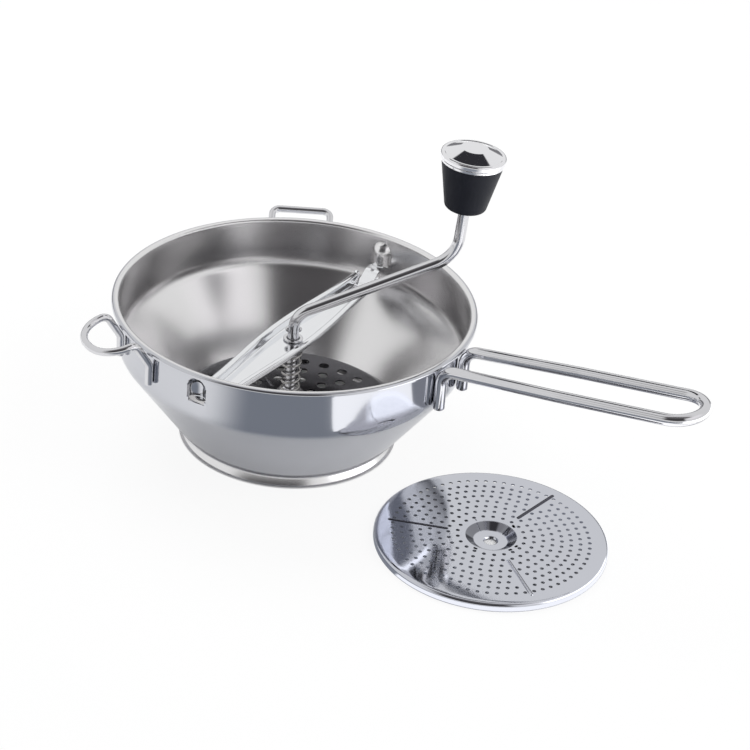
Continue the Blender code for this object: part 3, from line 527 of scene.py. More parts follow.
class Shading:
    """A shader tree and the ways to add to it."""

    def __init__(self, tree):
        self.tree = tree

    def feed(self, node, name, value):
        """Sets a node's socket to a number, or links another socket to it."""
        if isinstance(value, Socket):
            self.tree.links.new(value.socket, node.inputs[name])
        else:
            node.inputs[name].default_value = value

    def node(self, kind, settings=None, values=None, output=0):
        """Adds a node of a kind, with its settings first and then its sockets' values or links."""
        made = self.tree.nodes.new(kind)
        for name, value in (settings or {}).items():
            setattr(made, name, value)
        for name, value in (values or {}).items():
            self.feed(made, name, value)
        return Socket(self, made.outputs[output] if made.outputs else None)

    def maths(self, operation, *values):
        """A Math node on these values."""
        return self.node("ShaderNodeMath", {"operation": operation}, dict(enumerate(values)))

    def clipped(self, value):
        """The value held between 0 and 1."""
        return self.maths("MAXIMUM", self.maths("MINIMUM", value, 1.0), 0.0)

    def rays(self, camera, glossy, transmission):
        """A share for each kind of ray, and 0 for the others."""
        ways = (("Is Camera Ray", camera), ("Is Glossy Ray", glossy),
                ("Is Transmission Ray", transmission))
        first, second, third = (self.node("ShaderNodeLightPath", output=way) * share
                                for way, share in ways)
        return self.maths("MAXIMUM", self.maths("MAXIMUM", first, second), third)

    def place(self, centre=(0, 0, 0)):
        """Object coordinates measured from a point of the frame."""
        whole = self.node("ShaderNodeTexCoord", output="Object")
        away = tuple(-value for value in centre)
        return self.node("ShaderNodeMapping", None, {"Vector": whole, "Location": away})

    def flow(self):
        """The two parts of the piece's own flow map."""
        return self.parts(self.node("ShaderNodeUVMap", {"uv_map": "Flow"}))[:2]

    def noise(self, vector, scale, detail=3.0, roughness=0.5):
        """A noise from 0 to 1."""
        return self.node("ShaderNodeTexNoise", None, {
            "Vector": vector, "Scale": scale, "Detail": detail, "Roughness": roughness})

    def parts(self, vector):
        """The three parts of a vector."""
        made = self.node("ShaderNodeSeparateXYZ", None, {"Vector": vector})
        return [Socket(self, output) for output in made.socket.node.outputs]

    def vector(self, x, y, z):
        """A vector from three values."""
        return self.node("ShaderNodeCombineXYZ", None, {"X": x, "Y": y, "Z": z})

    def mixed(self, share, first, second):
        """A colour between two colours."""
        first, second = (colour if isinstance(colour, Socket) else (*colour, 1.0)
                         for colour in (first, second))
        return self.node("ShaderNodeMix", {"data_type": "RGBA"},
                         {0: share, 6: first, 7: second}, output=2)


class Finish(Shading):
    """A material, its shader tree and its main shader."""

    def __init__(self, name, colour, roughness, metallic=1.0):
        self.material = bpy.data.materials.new(name)
        self.material.use_nodes = True
        self.material.diffuse_color = (*colour, 1.0)
        super().__init__(self.material.node_tree)
        self.shader = self.tree.nodes["Principled BSDF"]
        self.shine("Base Color", (*colour, 1.0))
        self.shine("Roughness", roughness)
        self.shine("Metallic", metallic)

    def shine(self, name, value):
        """Sets a socket of the main shader."""
        self.feed(self.shader, name, value)

    def surface(self, share, first, second):
        """Shows a mix of two shaders."""
        mixed = self.node("ShaderNodeMixShader", None, {0: share, 1: first, 2: second})
        self.feed(self.tree.nodes["Material Output"], "Surface", mixed)

    def bump(self, height, strength, distance):
        """Lets a height stand out on the surface."""
        self.shine("Normal", self.node("ShaderNodeBump", None, {
            "Height": height, "Strength": strength, "Distance": distance}))


def turned_steel(name, colour, roughness, centre, inside=None, painted_shade=None):
    """Steel brushed in rings about an axis: noise that is long round it and short along.

    Where a face looks towards the axis or up, and at the foot, it takes the inside's rougher finish
    and the inside's lighter colour, which is painted light. The painted shade, if given, is a dark
    tone painted on slopes between two distances from the axis.
    """
    finish = Finish(name, colour, roughness)
    x, y, z = finish.parts(finish.place(centre))
    radius = (x * x + y * y + 0.00000001) ** 0.5
    along = z * 0.8 + radius
    rings = finish.vector(x / radius * 3.0, y / radius * 3.0, along * TURNING_LINES)
    lines = finish.noise(rings, 1.0, 2.0, 0.6)
    cloud = finish.noise(finish.place(centre), 26.0, 3.0)
    tone = lines * 0.25 + cloud * 0.75
    base = finish.mixed(tone, tuple(part * 0.95 for part in colour),
                        tuple(min(1.0, part * 1.04) for part in colour))
    nx, ny, nz = finish.parts(finish.node("ShaderNodeNewGeometry", output="Normal"))
    if inside:
        painted_light_colour, inner_roughness = inside
        # Painted light: faces towards the axis, faces that look up and the foot take the lighter
        # inside colour; the inside's roughness is the steel's own
        inside_and_painted_light_mask = finish.clipped(0.9 - (nx * x + ny * y) * (4.0 / RIM_RADIUS))
        inside_and_painted_light_mask = finish.maths("MAXIMUM", inside_and_painted_light_mask, finish.clipped((FOOT_TOP - z) * MASK_SLOPE))
        inner = finish.mixed(tone, tuple(part * 0.95 for part in painted_light_colour), painted_light_colour)
        base = finish.mixed(inside_and_painted_light_mask, base, inner)
        roughness = roughness + inside_and_painted_light_mask * (inner_roughness - roughness)
    if painted_shade:
        # Painted shade: slopes between low and high take a dark colour, standing in for the dark
        # that they reflect
        painted_shade_colour, low, high = painted_shade
        ring = finish.clipped((radius - low) * 2000.0) * finish.clipped((high - radius) * 2000.0)
        base = finish.mixed(ring * finish.clipped(7.6 - nz * 8.0), base, painted_shade_colour)
    finish.shine("Base Color", base)
    finish.shine("Roughness", roughness - 0.02 + 0.015 * lines + 0.025 * cloud)
    finish.bump(lines, 0.02, 0.00001)
    return finish.material


def drawn_steel(name, colour, roughness, across=2600.0, along=60.0):
    """Polished wire or strip: faint draw lines that follow the piece's flow map."""
    finish = Finish(name, colour, roughness)
    u, v = finish.flow()
    lines = finish.noise(finish.vector(u * across, v * along, 0.0), 1.0, 3.0)
    cloud = finish.noise(finish.place(), 60.0, 2.0)
    finish.shine("Roughness", roughness - 0.03 + 0.06 * lines + 0.05 * cloud)
    dark = tuple(part * 0.92 for part in colour)
    finish.shine("Base Color", finish.mixed(lines * 0.5 + cloud * 0.5, dark, colour))
    finish.bump(lines, 0.08, 0.00005)
    return finish.material


def soft_black(name, colour, roughness):
    """Soft-touch moulded black: a fine even grain, a little dust in the colour."""
    finish = Finish(name, colour, roughness, 0.0)
    finish.shine("Specular IOR Level", 0.3)
    grain = finish.noise(finish.place(KNOB_ORIGIN), 5200.0, 2.0)
    cloud = finish.noise(finish.place(KNOB_ORIGIN), 120.0, 3.0)
    finish.shine("Roughness", roughness - 0.05 + 0.08 * grain + 0.06 * cloud)
    lighter = tuple(part * 1.5 + 0.002 for part in colour)
    finish.shine("Base Color", finish.mixed(cloud * 0.6 + grain * 0.4, colour, lighter))
    finish.bump(grain, 0.18, 0.00006)
    return finish.material


# Settings that a user would change

def length_property(name, description, default):
    """A length in metres."""
    return FloatProperty(name=name, description=description, default=default, unit="LENGTH")


def colour_property(name, description, default):
    """A colour whose parts go from 0 to 1."""
    return FloatVectorProperty(name=name, description=description, default=default,
                               subtype="COLOR", min=0.0, max=1.0)


def share_property(name, description, default):
    """A number from 0 to 1."""
    return FloatProperty(name=name, description=description, default=default,
                         subtype="FACTOR", min=0.0, max=1.0)


def power_property(name, description, default):
    """A lamp's power."""
    return FloatProperty(name=name, description=description, default=default, min=0.0,
                         unit="POWER")


class MillSizes(bpy.types.PropertyGroup):
    """Sizes of the mill's smaller details."""

    sheet: length_property("Sheet", "Thickness of the hopper's steel", 0.0008)
    fine_hole: length_property("Fine hole", "Radius of the spare disc's holes", 0.00112)
    fine_rings: IntProperty(
        name="Fine rings", description="Rings of holes in the spare disc", default=8)
    coarse_hole: length_property("Coarse hole", "Radius of the fitted disc's holes", 0.0030)
    coarse_rings: IntProperty(
        name="Coarse rings", description="Rings of holes in the fitted disc", default=4)
    spring_wire: length_property("Spring wire", "Radius of the spring's wire", 0.0007)


class MillColours(bpy.types.PropertyGroup):
    """Colours and gloss of the finishes."""

    satin: colour_property("Satin steel", "Colour of the hopper", (0.60, 0.61, 0.645))
    # The inner colour is painted light: the hopper's steel made lighter on its inside, on faces
    # that look up and on the foot
    inner: colour_property(
        "Inner steel", "Colour of the hopper's inside and foot", (0.87, 0.865, 0.87))
    bright: colour_property(
        "Bright steel", "Colour of the wires and small pieces", (0.74, 0.74, 0.76))
    strip: colour_property("Bright strip", "Colour of the crossbar", (0.93, 0.94, 0.96))
    # Painted shade: the fitted disc's steel is made dark for the shade deep in the hopper
    fitted: colour_property("Fitted disc", "Colour of the fitted disc", (0.14, 0.14, 0.15))
    spare: colour_property("Spare disc", "Colour of the spare disc", (0.63, 0.645, 0.70))
    # Painted shade: the dark colour of two of the spare disc's ribs stands in for the dark that
    # they reflect
    rib: colour_property("Ribs", "Colour of the spare disc's dark ribs", (0.09, 0.09, 0.11))
    # Painted shade: the cup colour is a dark tone painted on the slope of the disc's cup
    cup: colour_property("Cup", "Colour of the slope of the disc's cup", (0.03, 0.03, 0.045))
    cap: colour_property("Cap", "Colour of the knob's cap", (0.88, 0.88, 0.90))
    spring: colour_property("Spring steel", "Colour of the spring", (0.48, 0.47, 0.46))
    knob: colour_property("Knob", "Colour of the knob", (0.005, 0.0065, 0.013))
    satin_roughness: share_property("Satin roughness", "Roughness of the hopper", 0.09)
    inner_roughness: share_property("Inner roughness", "Roughness of the hopper's inside", 0.22)
    bright_roughness: share_property("Bright roughness", "Roughness of the bright steel", 0.07)


class StudioLevels(bpy.types.PropertyGroup):
    """Light levels of the studio."""

    sky: FloatProperty(
        name="Sky", description="Even light from all round", default=0.75, min=0.0)
    backdrop: FloatProperty(
        name="Backdrop", description="Strength of the backdrop that the camera and the steel see",
        default=1.05, min=0.0)
    key: power_property("Key", "Power of the left lamp", 15.0)
    fill: power_property("Fill", "Power of the right lamp", 10.0)


FINISHES = {}


def finish_for(name):
    """The material of that name, made once from the scene's colours."""
    if not FINISHES:
        colours = bpy.context.scene.mill_colours
        satin, inner, bright, strip, fitted, spare, rib, cup, cap, spring, knob = (
            tuple(getattr(colours, part)) for part in (
                "satin", "inner", "bright", "strip", "fitted", "spare", "rib", "cup", "cap",
                "spring", "knob"))
        polish = colours.bright_roughness
        middle = middle_of("spare_disc")
        FINISHES.update({
            # The inner colour is painted light; the inner roughness is the steel's own
            "satin": turned_steel("satin_steel", satin, colours.satin_roughness, MILL_AXIS,
                                  (inner, colours.inner_roughness)),
            "wire": drawn_steel("bright_wire", bright, polish),
            "strip": drawn_steel("bright_strip", strip, polish, 1400.0, 30.0),
            # Painted shade: the fitted disc's dark colour stands for the shade deep in the hopper
            "fitted": turned_steel("fitted_disc_steel", fitted, polish + 0.03, MILL_AXIS),
            # Painted shade: the slope of the spare disc's cup is painted dark
            "spare": turned_steel("spare_disc_steel", spare, polish, middle,
                                  painted_shade=(cup, CUP_FLAT_RADIUS, CUP_TOP_RADIUS)),
            # Painted shade: the rib finish is the spare disc's steel made dark, for the dark that
            # two ribs reflect
            "rib": turned_steel("rib_steel", rib, polish + 0.1, middle),
            "cap": turned_steel("cap_steel", cap, polish, KNOB_ORIGIN),
            "spring": drawn_steel("spring_steel", spring, polish + 0.08),
            "black": soft_black("soft_black", knob, 0.5),
        })
    return FINISHES[name]


# Hopper

def hopper_rows(sheet):
    """The sheet's middle line from the lip to the foot, and which row is cut for the hoods.

    Rounded straight runs, with extra rows in the band where the hoods are. The row at the hoods'
    base stands twice, so that the sheet above it can be pressed in and the sheet below it stays.
    """
    half = sheet / 2
    neck = CONE_FOOT_RADIUS - NECK_WIDTH
    corners = [
        (RIM_RADIUS - half, RIM_HEIGHT - RIM_LIP_DEPTH),
        (RIM_RADIUS - half, RIM_HEIGHT - half),
        (BAND_RADIUS - half, RIM_HEIGHT - half),
        (BAND_RADIUS - half, SHOULDER_HEIGHT),
        (CONE_FOOT_RADIUS - half, LEDGE_HEIGHT + half),
        (neck - half, LEDGE_HEIGHT + half),
        (neck - half, NECK_HEIGHT),
        (FOOT_RADIUS - FOOT_FLANGE, half),
        (FOOT_RADIUS, half),
    ]
    bends = [RIM_ROUND] * 2 + [SHOULDER_ROUND] + [LEDGE_ROUND] * 3 + [FOOT_ROUND]
    path = rounded(corners, bends, math.radians(9))
    band_top = HOOD_BASE + HOOD_HEIGHT
    pressed = np.linspace(band_top, HOOD_BASE, 26)
    mouth = np.array([HOOD_BASE, HOOD_BASE - HOOD_MOUTH_DROP])
    special = np.concatenate([pressed, mouth])
    split = int(np.argmax(path[:, 1] < HOOD_BASE - HOOD_MOUTH_DROP))
    band = np.stack([np.full(len(special), BAND_RADIUS - half), special], -1)
    upper = refined(path[:split], 0.003)
    lower = refined(path[split:], 0.003)
    return np.concatenate([upper, band, lower]), len(upper) + len(pressed) - 1


class MILL_OT_hopper(bpy.types.Operator):
    """Builds the pressed hopper with its lip, hoods, cone, ledge and foot ring"""

    bl_idname = "mill.hopper"
    bl_label = "Hopper"

    def execute(self, context):
        """Turns the rows round the axis and presses the hoods in.

        A hood is an arch: the sheet moves in by depth (1 - q) ** belly, where q is (side / half
        width) squared plus the square of the rise over the arch's straight sides, as a share.
        """
        sheet = context.scene.mill_sizes.sheet
        rows, cut = hopper_rows(sheet)
        reach = HOOD_HALF_WIDTH / BAND_RADIUS
        plain = np.linspace(-math.pi, math.pi, 217)
        fine = [turn + reach * np.linspace(-1.08, 1.08, 31) for turn in HOOD_TURNS]
        away = np.min([np.abs(plain - turn) for turn in HOOD_TURNS], axis=0) > reach * 1.25
        columns = np.sort(np.concatenate([plain[away], *fine]))
        turn = columns[None, :]
        radius = rows[:, :1] + 0 * turn
        height = rows[:, 1:] + 0 * turn
        upper = np.arange(len(rows))[:, None] <= cut
        in_mouth = np.zeros(radius.shape, bool)
        for middle in HOOD_TURNS:
            side = (turn - middle) * BAND_RADIUS / HOOD_HALF_WIDTH
            rise = (height - HOOD_BASE - HOOD_STRAIGHT) / (HOOD_HEIGHT - HOOD_STRAIGHT)
            q = side ** 2 + np.clip(rise, 0, None) ** 2
            pressed = upper & (height > HOOD_BASE - MERGE) & (q < 1)
            radius = radius - np.where(pressed, HOOD_DEPTH * np.clip(1 - q, 0, 1) ** HOOD_BELLY, 0)
            in_mouth |= np.abs(side) < HOOD_MOUTH_SHARE
        points = polar(radius, turn, height)
        keep = np.ones((len(rows) - 1, len(columns) - 1), bool)
        keep[cut] = False
        keep[cut + 1] = ~(in_mouth[cut, 1:] & in_mouth[cut, :-1])
        shell = Surfaces().grid(on_axis(points), keep=keep)
        show("hopper", shell, finish_for("satin"), "bowl", ["bowl_shell"],
             wall=sheet)
        return {"FINISHED"}


# Wires

def leg_place(spacing, radius):
    """Where a leg stands on the band: its distance out and its distance to one side."""
    side = spacing / 2
    reach = BAND_RADIUS + LEG_GAP + radius
    return math.sqrt(reach ** 2 - side ** 2), side


def mirrored(half_path, half_bends):
    """A path and its mirror image in Y."""
    back = [(x, -y, z) for x, y, z in reversed(half_path)]
    return half_path + back, list(half_bends) + list(reversed(half_bends))


def show_wire(name, node, body, path, radius, edge, sides=24, step=0.0015, turn=0.0):
    """Sweeps a bright wire along a path worked out round the mill's axis, and shows it."""
    points, flow = swept(path, radius, edge, sides, step)
    show(name, Surfaces().grid(on_axis(points, turn), flow), finish_for("wire"), body,
         [node])


class MILL_OT_wires(bpy.types.Operator):
    """Builds the long handle and the two rests"""

    bl_idname = "mill.wires"
    bl_label = "Handle and rests"

    def execute(self, context):
        """Sweeps a round section along each bent path."""
        leg, side = leg_place(HANDLE_LEG_SPACING, HANDLE_RADIUS)
        wide = HANDLE_SPREAD / 2
        slope = (HANDLE_TIP_HEIGHT - HANDLE_ELBOW_HEIGHT) / (HANDLE_REACH - leg)
        half_path = [
            (leg, side, HANDLE_LEG_BOTTOM),
            (leg, side, HANDLE_ELBOW_HEIGHT),
            (leg + HANDLE_SPREAD_REACH, wide, HANDLE_ELBOW_HEIGHT + slope * HANDLE_SPREAD_REACH),
            (HANDLE_REACH, wide, HANDLE_TIP_HEIGHT),
        ]
        path, bends = mirrored(half_path, [HANDLE_ELBOW_BEND, HANDLE_SPREAD_BEND, wide * 0.9999])
        show_wire("handle", "long_handle", "bowl", rounded(path, bends), HANDLE_RADIUS,
                  HANDLE_RADIUS * 0.35, 32)
        leg, side = leg_place(REST_LEG_SPACING, REST_RADIUS)
        for name, node, turn, outer, outer_bends in (
                ("left_rest", "left_rest_loop", LEFT_REST_TURN, LEFT_REST_PATH, LEFT_REST_BENDS),
                ("rear_rest", "rear_rest_loop", REAR_REST_TURN, REAR_REST_PATH, REAR_REST_BENDS)):
            half_path = [(leg, side, REST_LEG_BOTTOM), (leg, side, REST_ELBOW_HEIGHT)]
            half_path += [(leg + run, wide, height) for run, wide, height in outer]
            path, bends = mirrored(half_path, [REST_ELBOW_BEND, *outer_bends])
            show_wire(name, node, "bowl", rounded(path, bends), REST_RADIUS, REST_RADIUS * 0.4,
                      step=0.001, turn=turn)
        return {"FINISHED"}


# Crossbar

def bar_rows():
    """Distances from the shaft at which the bar's section is worked out."""
    middle = np.linspace(0, BAR_RISE[0], 34)
    rise = np.linspace(BAR_RISE[0], SHOULDER, 12)[1:]
    tongue = np.linspace(SHOULDER, BAR_LENGTH - TONGUE_NOSE, 14)[1:]
    nose = BAR_LENGTH - TONGUE_NOSE * np.cos(np.linspace(0, math.pi / 2, 9)[1:])
    half = np.concatenate([middle, rise, tongue, nose])
    return np.concatenate([-half[:0:-1], half])


class MILL_OT_crossbar(bpy.types.Operator):
    """Builds the channel that crosses the hopper, with its rolled lips and end tongues"""

    bl_idname = "mill.crossbar"
    bl_label = "Crossbar"

    def execute(self, context):
        """Each row is one section: floor, quarter fold, flange, rolled-out lip and hem.

        The half width falls by a half cosine from the shaft to the shoulder, and the floor climbs
        to the tongue by s s (3 - 2 s). Past the shoulder only the floor's middle columns are kept,
        and at the nose they close along a circle.
        """
        rows = bar_rows()[:, None]
        distance = np.abs(rows)
        share = np.clip(distance / SHOULDER, 0, 1)
        width = BAR_END_HALF_WIDTH + (BAR_HALF_WIDTH - BAR_END_HALF_WIDTH) * (
            1 + np.cos(math.pi * share)) / 2
        rise = BAR_SAG * smooth_step((distance - BAR_RISE[0]) / (BAR_RISE[1] - BAR_RISE[0]))
        floor = BAR_FLOOR - BAR_SHEET / 2 + rise
        top = floor + np.maximum(BAR_FLANGE_END, BAR_FLANGE - rise)
        quarter = np.linspace(0, math.pi / 2, 8)[None, :]
        inner = np.linspace(0, TONGUE_HALF_WIDTH, 7)[None, :]
        nose = np.clip((distance - BAR_LENGTH + TONGUE_NOSE) / TONGUE_NOSE, 0, 1)
        nose = np.sqrt(1 - nose ** 2)
        outer = np.linspace(0, 1, 5)[None, 1:]
        flat_end = width - BAR_FOLD
        side = np.concatenate([
            inner * nose,
            TONGUE_HALF_WIDTH + (flat_end - TONGUE_HALF_WIDTH) * outer,
            flat_end + BAR_FOLD * np.sin(quarter[:, 1:]),
            width + 0 * outer[:, :2],
            width + BAR_LIP_ROUND * (1 - np.cos(quarter[:, 1:])),
            width + BAR_LIP - BAR_HEM + BAR_HEM * np.sin(quarter * BAR_HEM_QUARTERS),
        ], axis=1)
        wall = np.linspace(0, 1, 4)[None, 1:3]
        wall_low, wall_high = floor + BAR_FOLD, top - BAR_LIP_ROUND
        up = np.concatenate([
            floor + 0 * inner,
            floor + 0 * outer,
            floor + BAR_FOLD * (1 - np.cos(quarter[:, 1:])),
            wall_low + (wall_high - wall_low) * wall,
            wall_high + BAR_LIP_ROUND * np.sin(quarter[:, 1:]),
            top - BAR_HEM + BAR_HEM * np.cos(quarter * BAR_HEM_QUARTERS),
        ], axis=1)
        side = np.concatenate([-side[:, :0:-1], side], axis=1)
        up = np.concatenate([up[:, :0:-1], up], axis=1)
        points = np.stack([side, rows + 0 * side, up], -1)
        columns = side.shape[1]
        middle = columns // 2
        reach = inner.shape[1] - 1
        on_tongue = np.minimum(distance[1:, 0], distance[:-1, 0]) > SHOULDER - MERGE
        column = np.arange(columns - 1)
        on_strip = (column >= middle - reach) & (column < middle + reach)
        keep = ~on_tongue[:, None] | on_strip[None, :]
        flow = np.stack([np.cumsum(np.hypot(np.diff(side, axis=1, prepend=side[:, :1]),
                                            np.diff(up, axis=1, prepend=up[:, :1])), axis=1),
                         rows + 0 * side], -1)
        small = lathe(ring_profile(0.0, TONGUE_HOLE_RADIUS, *CUTTER_SPAN, 0.0002), 16)
        holes = [lathe(ring_profile(0.0, SHAFT_BORE, *CUTTER_SPAN, 0.0005), 48)]
        holes += [small + (0, end * (SHOULDER + TONGUE_HOLE_INSET), 0) for end in (1, -1)]
        cutters = [Surfaces().grid(on_axis(hole)).mesh("bar_hole") for hole in holes]
        show("channel_bar", Surfaces().grid(on_axis(points), flow, keep), finish_for("strip"),
             "bar", ["crossbar"], wall=BAR_SHEET, cutters=cutters)
        return {"FINISHED"}


# Discs

def hole_centres(rings, span, pitch, hole):
    """Centres in rings, half a step aside in every second ring, none on a rib."""
    centres = []
    for index, radius in enumerate(np.linspace(*span, rings)):
        count = int(math.tau * radius / pitch / RIB_COUNT) * RIB_COUNT
        turn = (np.arange(count) + (index % 2) / 2) * math.tau / count
        sector = math.tau / RIB_COUNT
        to_rib = np.abs((turn + sector / 2) % sector - sector / 2) * radius
        on_rib = RIB_SPAN[0] * DISC_RADIUS - hole < radius < RIB_SPAN[1] * DISC_RADIUS + hole
        turn = turn[(to_rib > RIB_CLEAR + hole) | (not on_rib)]
        centres.append(polar(radius, turn)[:, :2])
    return np.concatenate(centres)


def disc_surfaces(centres, hole, sides, steps=120):
    """A pierced disc: a turned cup, a pierced flat plate, and a turned edge with a rolled bead.

    The cup and the edge are profiles turned round Z, and the flat plate between them is a net
    through all the holes, with the same points where it meets them.
    """
    half = DISC_SHEET / 2
    flat = DISC_DEPTH - half
    cup = DISC_DEPTH - CUP_DEPTH
    inner = rounded([
        (DISC_BORE - DISC_BORE_TURN, cup - half), (DISC_BORE, cup + half),
        (CUP_FLAT_RADIUS, cup + half), (CUP_TOP_RADIUS, flat), (CUP_TOP_RADIUS + CUP_MARGIN, flat)],
        [0.0004, 0.0006, 0.0007], math.radians(12))
    wall, hem = DISC_RADIUS - half, DISC_HEM
    over = np.linspace(0, math.pi / 2, 9)
    curl = np.linspace(0, math.radians(-200), 14)
    outer = np.concatenate([
        [(wall - DISC_ROUND - DISC_MARGIN, flat)],
        np.stack([wall - DISC_ROUND + DISC_ROUND * np.sin(over),
                  flat - DISC_ROUND + DISC_ROUND * np.cos(over)], -1),
        np.stack([wall - hem + hem * np.cos(curl), half + hem + hem * np.sin(curl)], -1)])
    surfaces = Surfaces().grid(lathe(inner, steps)).grid(lathe(outer, steps))
    loops = [circle(inner[-1, 0], steps)]
    loops += [circle(hole, sides, centre) for centre in centres]

    def cut(middles):
        """Inside the cup, or inside a hole."""
        inside = np.hypot(*middles.T) < inner[-1, 0] * 0.999
        far = np.linalg.norm(middles[:, None] - centres[None], axis=-1).min(axis=1)
        return inside | (far < hole * math.cos(math.pi / sides))

    points, faces = plate(circle(outer[0, 0], steps), loops, cut)
    return surfaces.add(np.column_stack([points, np.full(len(points), flat)]), faces)


def rib_surfaces(index):
    """A rib: a ridge along the plate, with steep sides, a round crest and ends that run out.

    Across, the crest falls as height (1 - |side| ** 1.4); along, it rises over the end's length.
    """
    reach = np.linspace(RIB_SPAN[0] * DISC_RADIUS, RIB_SPAN[1] * DISC_RADIUS, 40)[:, None]
    side = np.linspace(-1, 1, 17)[None, :]
    end = np.minimum(reach - reach[0], reach[-1] - reach) / RIB_END
    share = np.sqrt(1 - (1 - np.clip(end, 0, 1)) ** 2)
    crest = RIB_HEIGHT * share * (1 - np.abs(side) ** 1.4)
    foot = DISC_DEPTH - DISC_SHEET / 2
    ridge = np.stack([reach + 0 * side, RIB_HALF_WIDTH * share * side, foot + crest], -1)
    sole = ridge * (1, 1, 0) + (0, 0, foot - 0.0001)
    closed = np.concatenate([ridge, sole[:, ::-1], ridge[:, :1]], axis=1)
    return turned(closed, math.tau * index / RIB_COUNT)


def show_disc(name, node, body, finishes, centres, hole, sides, place, turn):
    """Builds a disc at its place. The first finish is the plate's, and the others are the ribs'."""
    surfaces = disc_surfaces(centres, hole, sides)
    surfaces.points = [turned(points, turn) + place for points in surfaces.points]
    show(name, surfaces, finish_for(finishes[0]), body, [node], wall=DISC_SHEET)
    for index, finish in enumerate(finishes[1:]):
        rib = Surfaces().grid(turned(rib_surfaces(index), turn) + place)
        show(f"{name}_rib_{index + 1}", rib, finish_for(finish), body)


class MILL_OT_discs(bpy.types.Operator):
    """Builds the coarse disc in the hopper and the fine spare disc beside it"""

    bl_idname = "mill.discs"
    bl_label = "Discs"

    def execute(self, context):
        """Lays out the holes in rings and builds both discs."""
        sizes = context.scene.mill_sizes
        low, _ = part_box("fitted_disc")
        hole = sizes.coarse_hole
        # The fitted disc and its ribs take the fitted colour, which is painted shade
        show_disc("coarse_disc", "fitted_disc", "bowl", ["fitted"] * (1 + RIB_COUNT),
                  hole_centres(sizes.coarse_rings, COARSE_SPAN, COARSE_PITCH, hole), hole, 16,
                  MILL_AXIS + (0, 0, low.z), COARSE_TURN)
        low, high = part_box("spare_disc")
        hole = sizes.fine_hole
        # The first two ribs take the rib finish, which is painted shade; the third keeps the
        # plate's steel
        show_disc("fine_disc", "spare_disc", "spare", ["spare", "rib", "rib", "spare"],
                  hole_centres(sizes.fine_rings, FINE_SPAN, FINE_PITCH, hole), hole, 10,
                  ((low.x + high.x) / 2, (low.y + high.y) / 2, low.z), FINE_TURN)
        return {"FINISHED"}


# Shaft, spring and crank

class MILL_OT_washers(bpy.types.Operator):
    """Builds the washers and the blade's hub with rounded edges"""

    bl_idname = "mill.washers"
    bl_label = "Washers and sleeves"

    def execute(self, context):
        """Turns a rounded ring profile to each node's own sizes."""
        for name, node, body, slot in (
                ("bar_washer", "top_washer", "bar", "polished_steel"),
                ("spring_cup_top", "upper_spring_washer", "bar", "polished_steel"),
                ("spring_cup_foot", "lower_spring_washer", "spring_seat", "polished_steel"),
                ("hub_sleeve", "blade_hub", "crank", "brushed_steel")):
            low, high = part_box(node)
            edge = min(RING_EDGE, (high.z - low.z) / 3)
            outline = ring_profile(SHAFT_BORE, (high.y - low.y) / 2, low.z, high.z, edge)
            show(name, Surfaces().grid(on_axis(lathe(outline, 64))), finish_for("wire"), body,
                 [node])
        return {"FINISHED"}


class MILL_OT_spring(bpy.types.Operator):
    """Builds the coil spring between the blade's hub and the bar"""

    bl_idname = "mill.spring"
    bl_label = "Spring"

    def execute(self, context):
        """Sweeps the wire along a helix whose end turns are closed up.

        The rise is the sum of a small pitch over the end turns and an even pitch between them.
        """
        wire = context.scene.mill_sizes.spring_wire
        low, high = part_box("spring")
        turns = np.linspace(0, SPRING_TURNS, 210)
        open_turns = SPRING_TURNS - 2 * SPRING_END_TURNS
        closed = np.minimum(turns, SPRING_END_TURNS)
        closed = closed + np.maximum(0, turns - SPRING_END_TURNS - open_turns)
        start, top = low.z + wire, high.z - wire
        pitch = (top - start - 2 * SPRING_END_PITCH * SPRING_END_TURNS) / open_turns
        height = start + SPRING_END_PITCH * closed + pitch * (turns - closed)
        path = polar(SPRING_RADIUS, turns * math.tau, height)
        points, flow = swept(path, wire, wire * 0.3, 14, 0.001)
        coil = show("coil_spring", Surfaces().grid(on_axis(points), flow), finish_for("spring"),
                    None, ["spring"])
        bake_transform(coil)
        return {"FINISHED"}


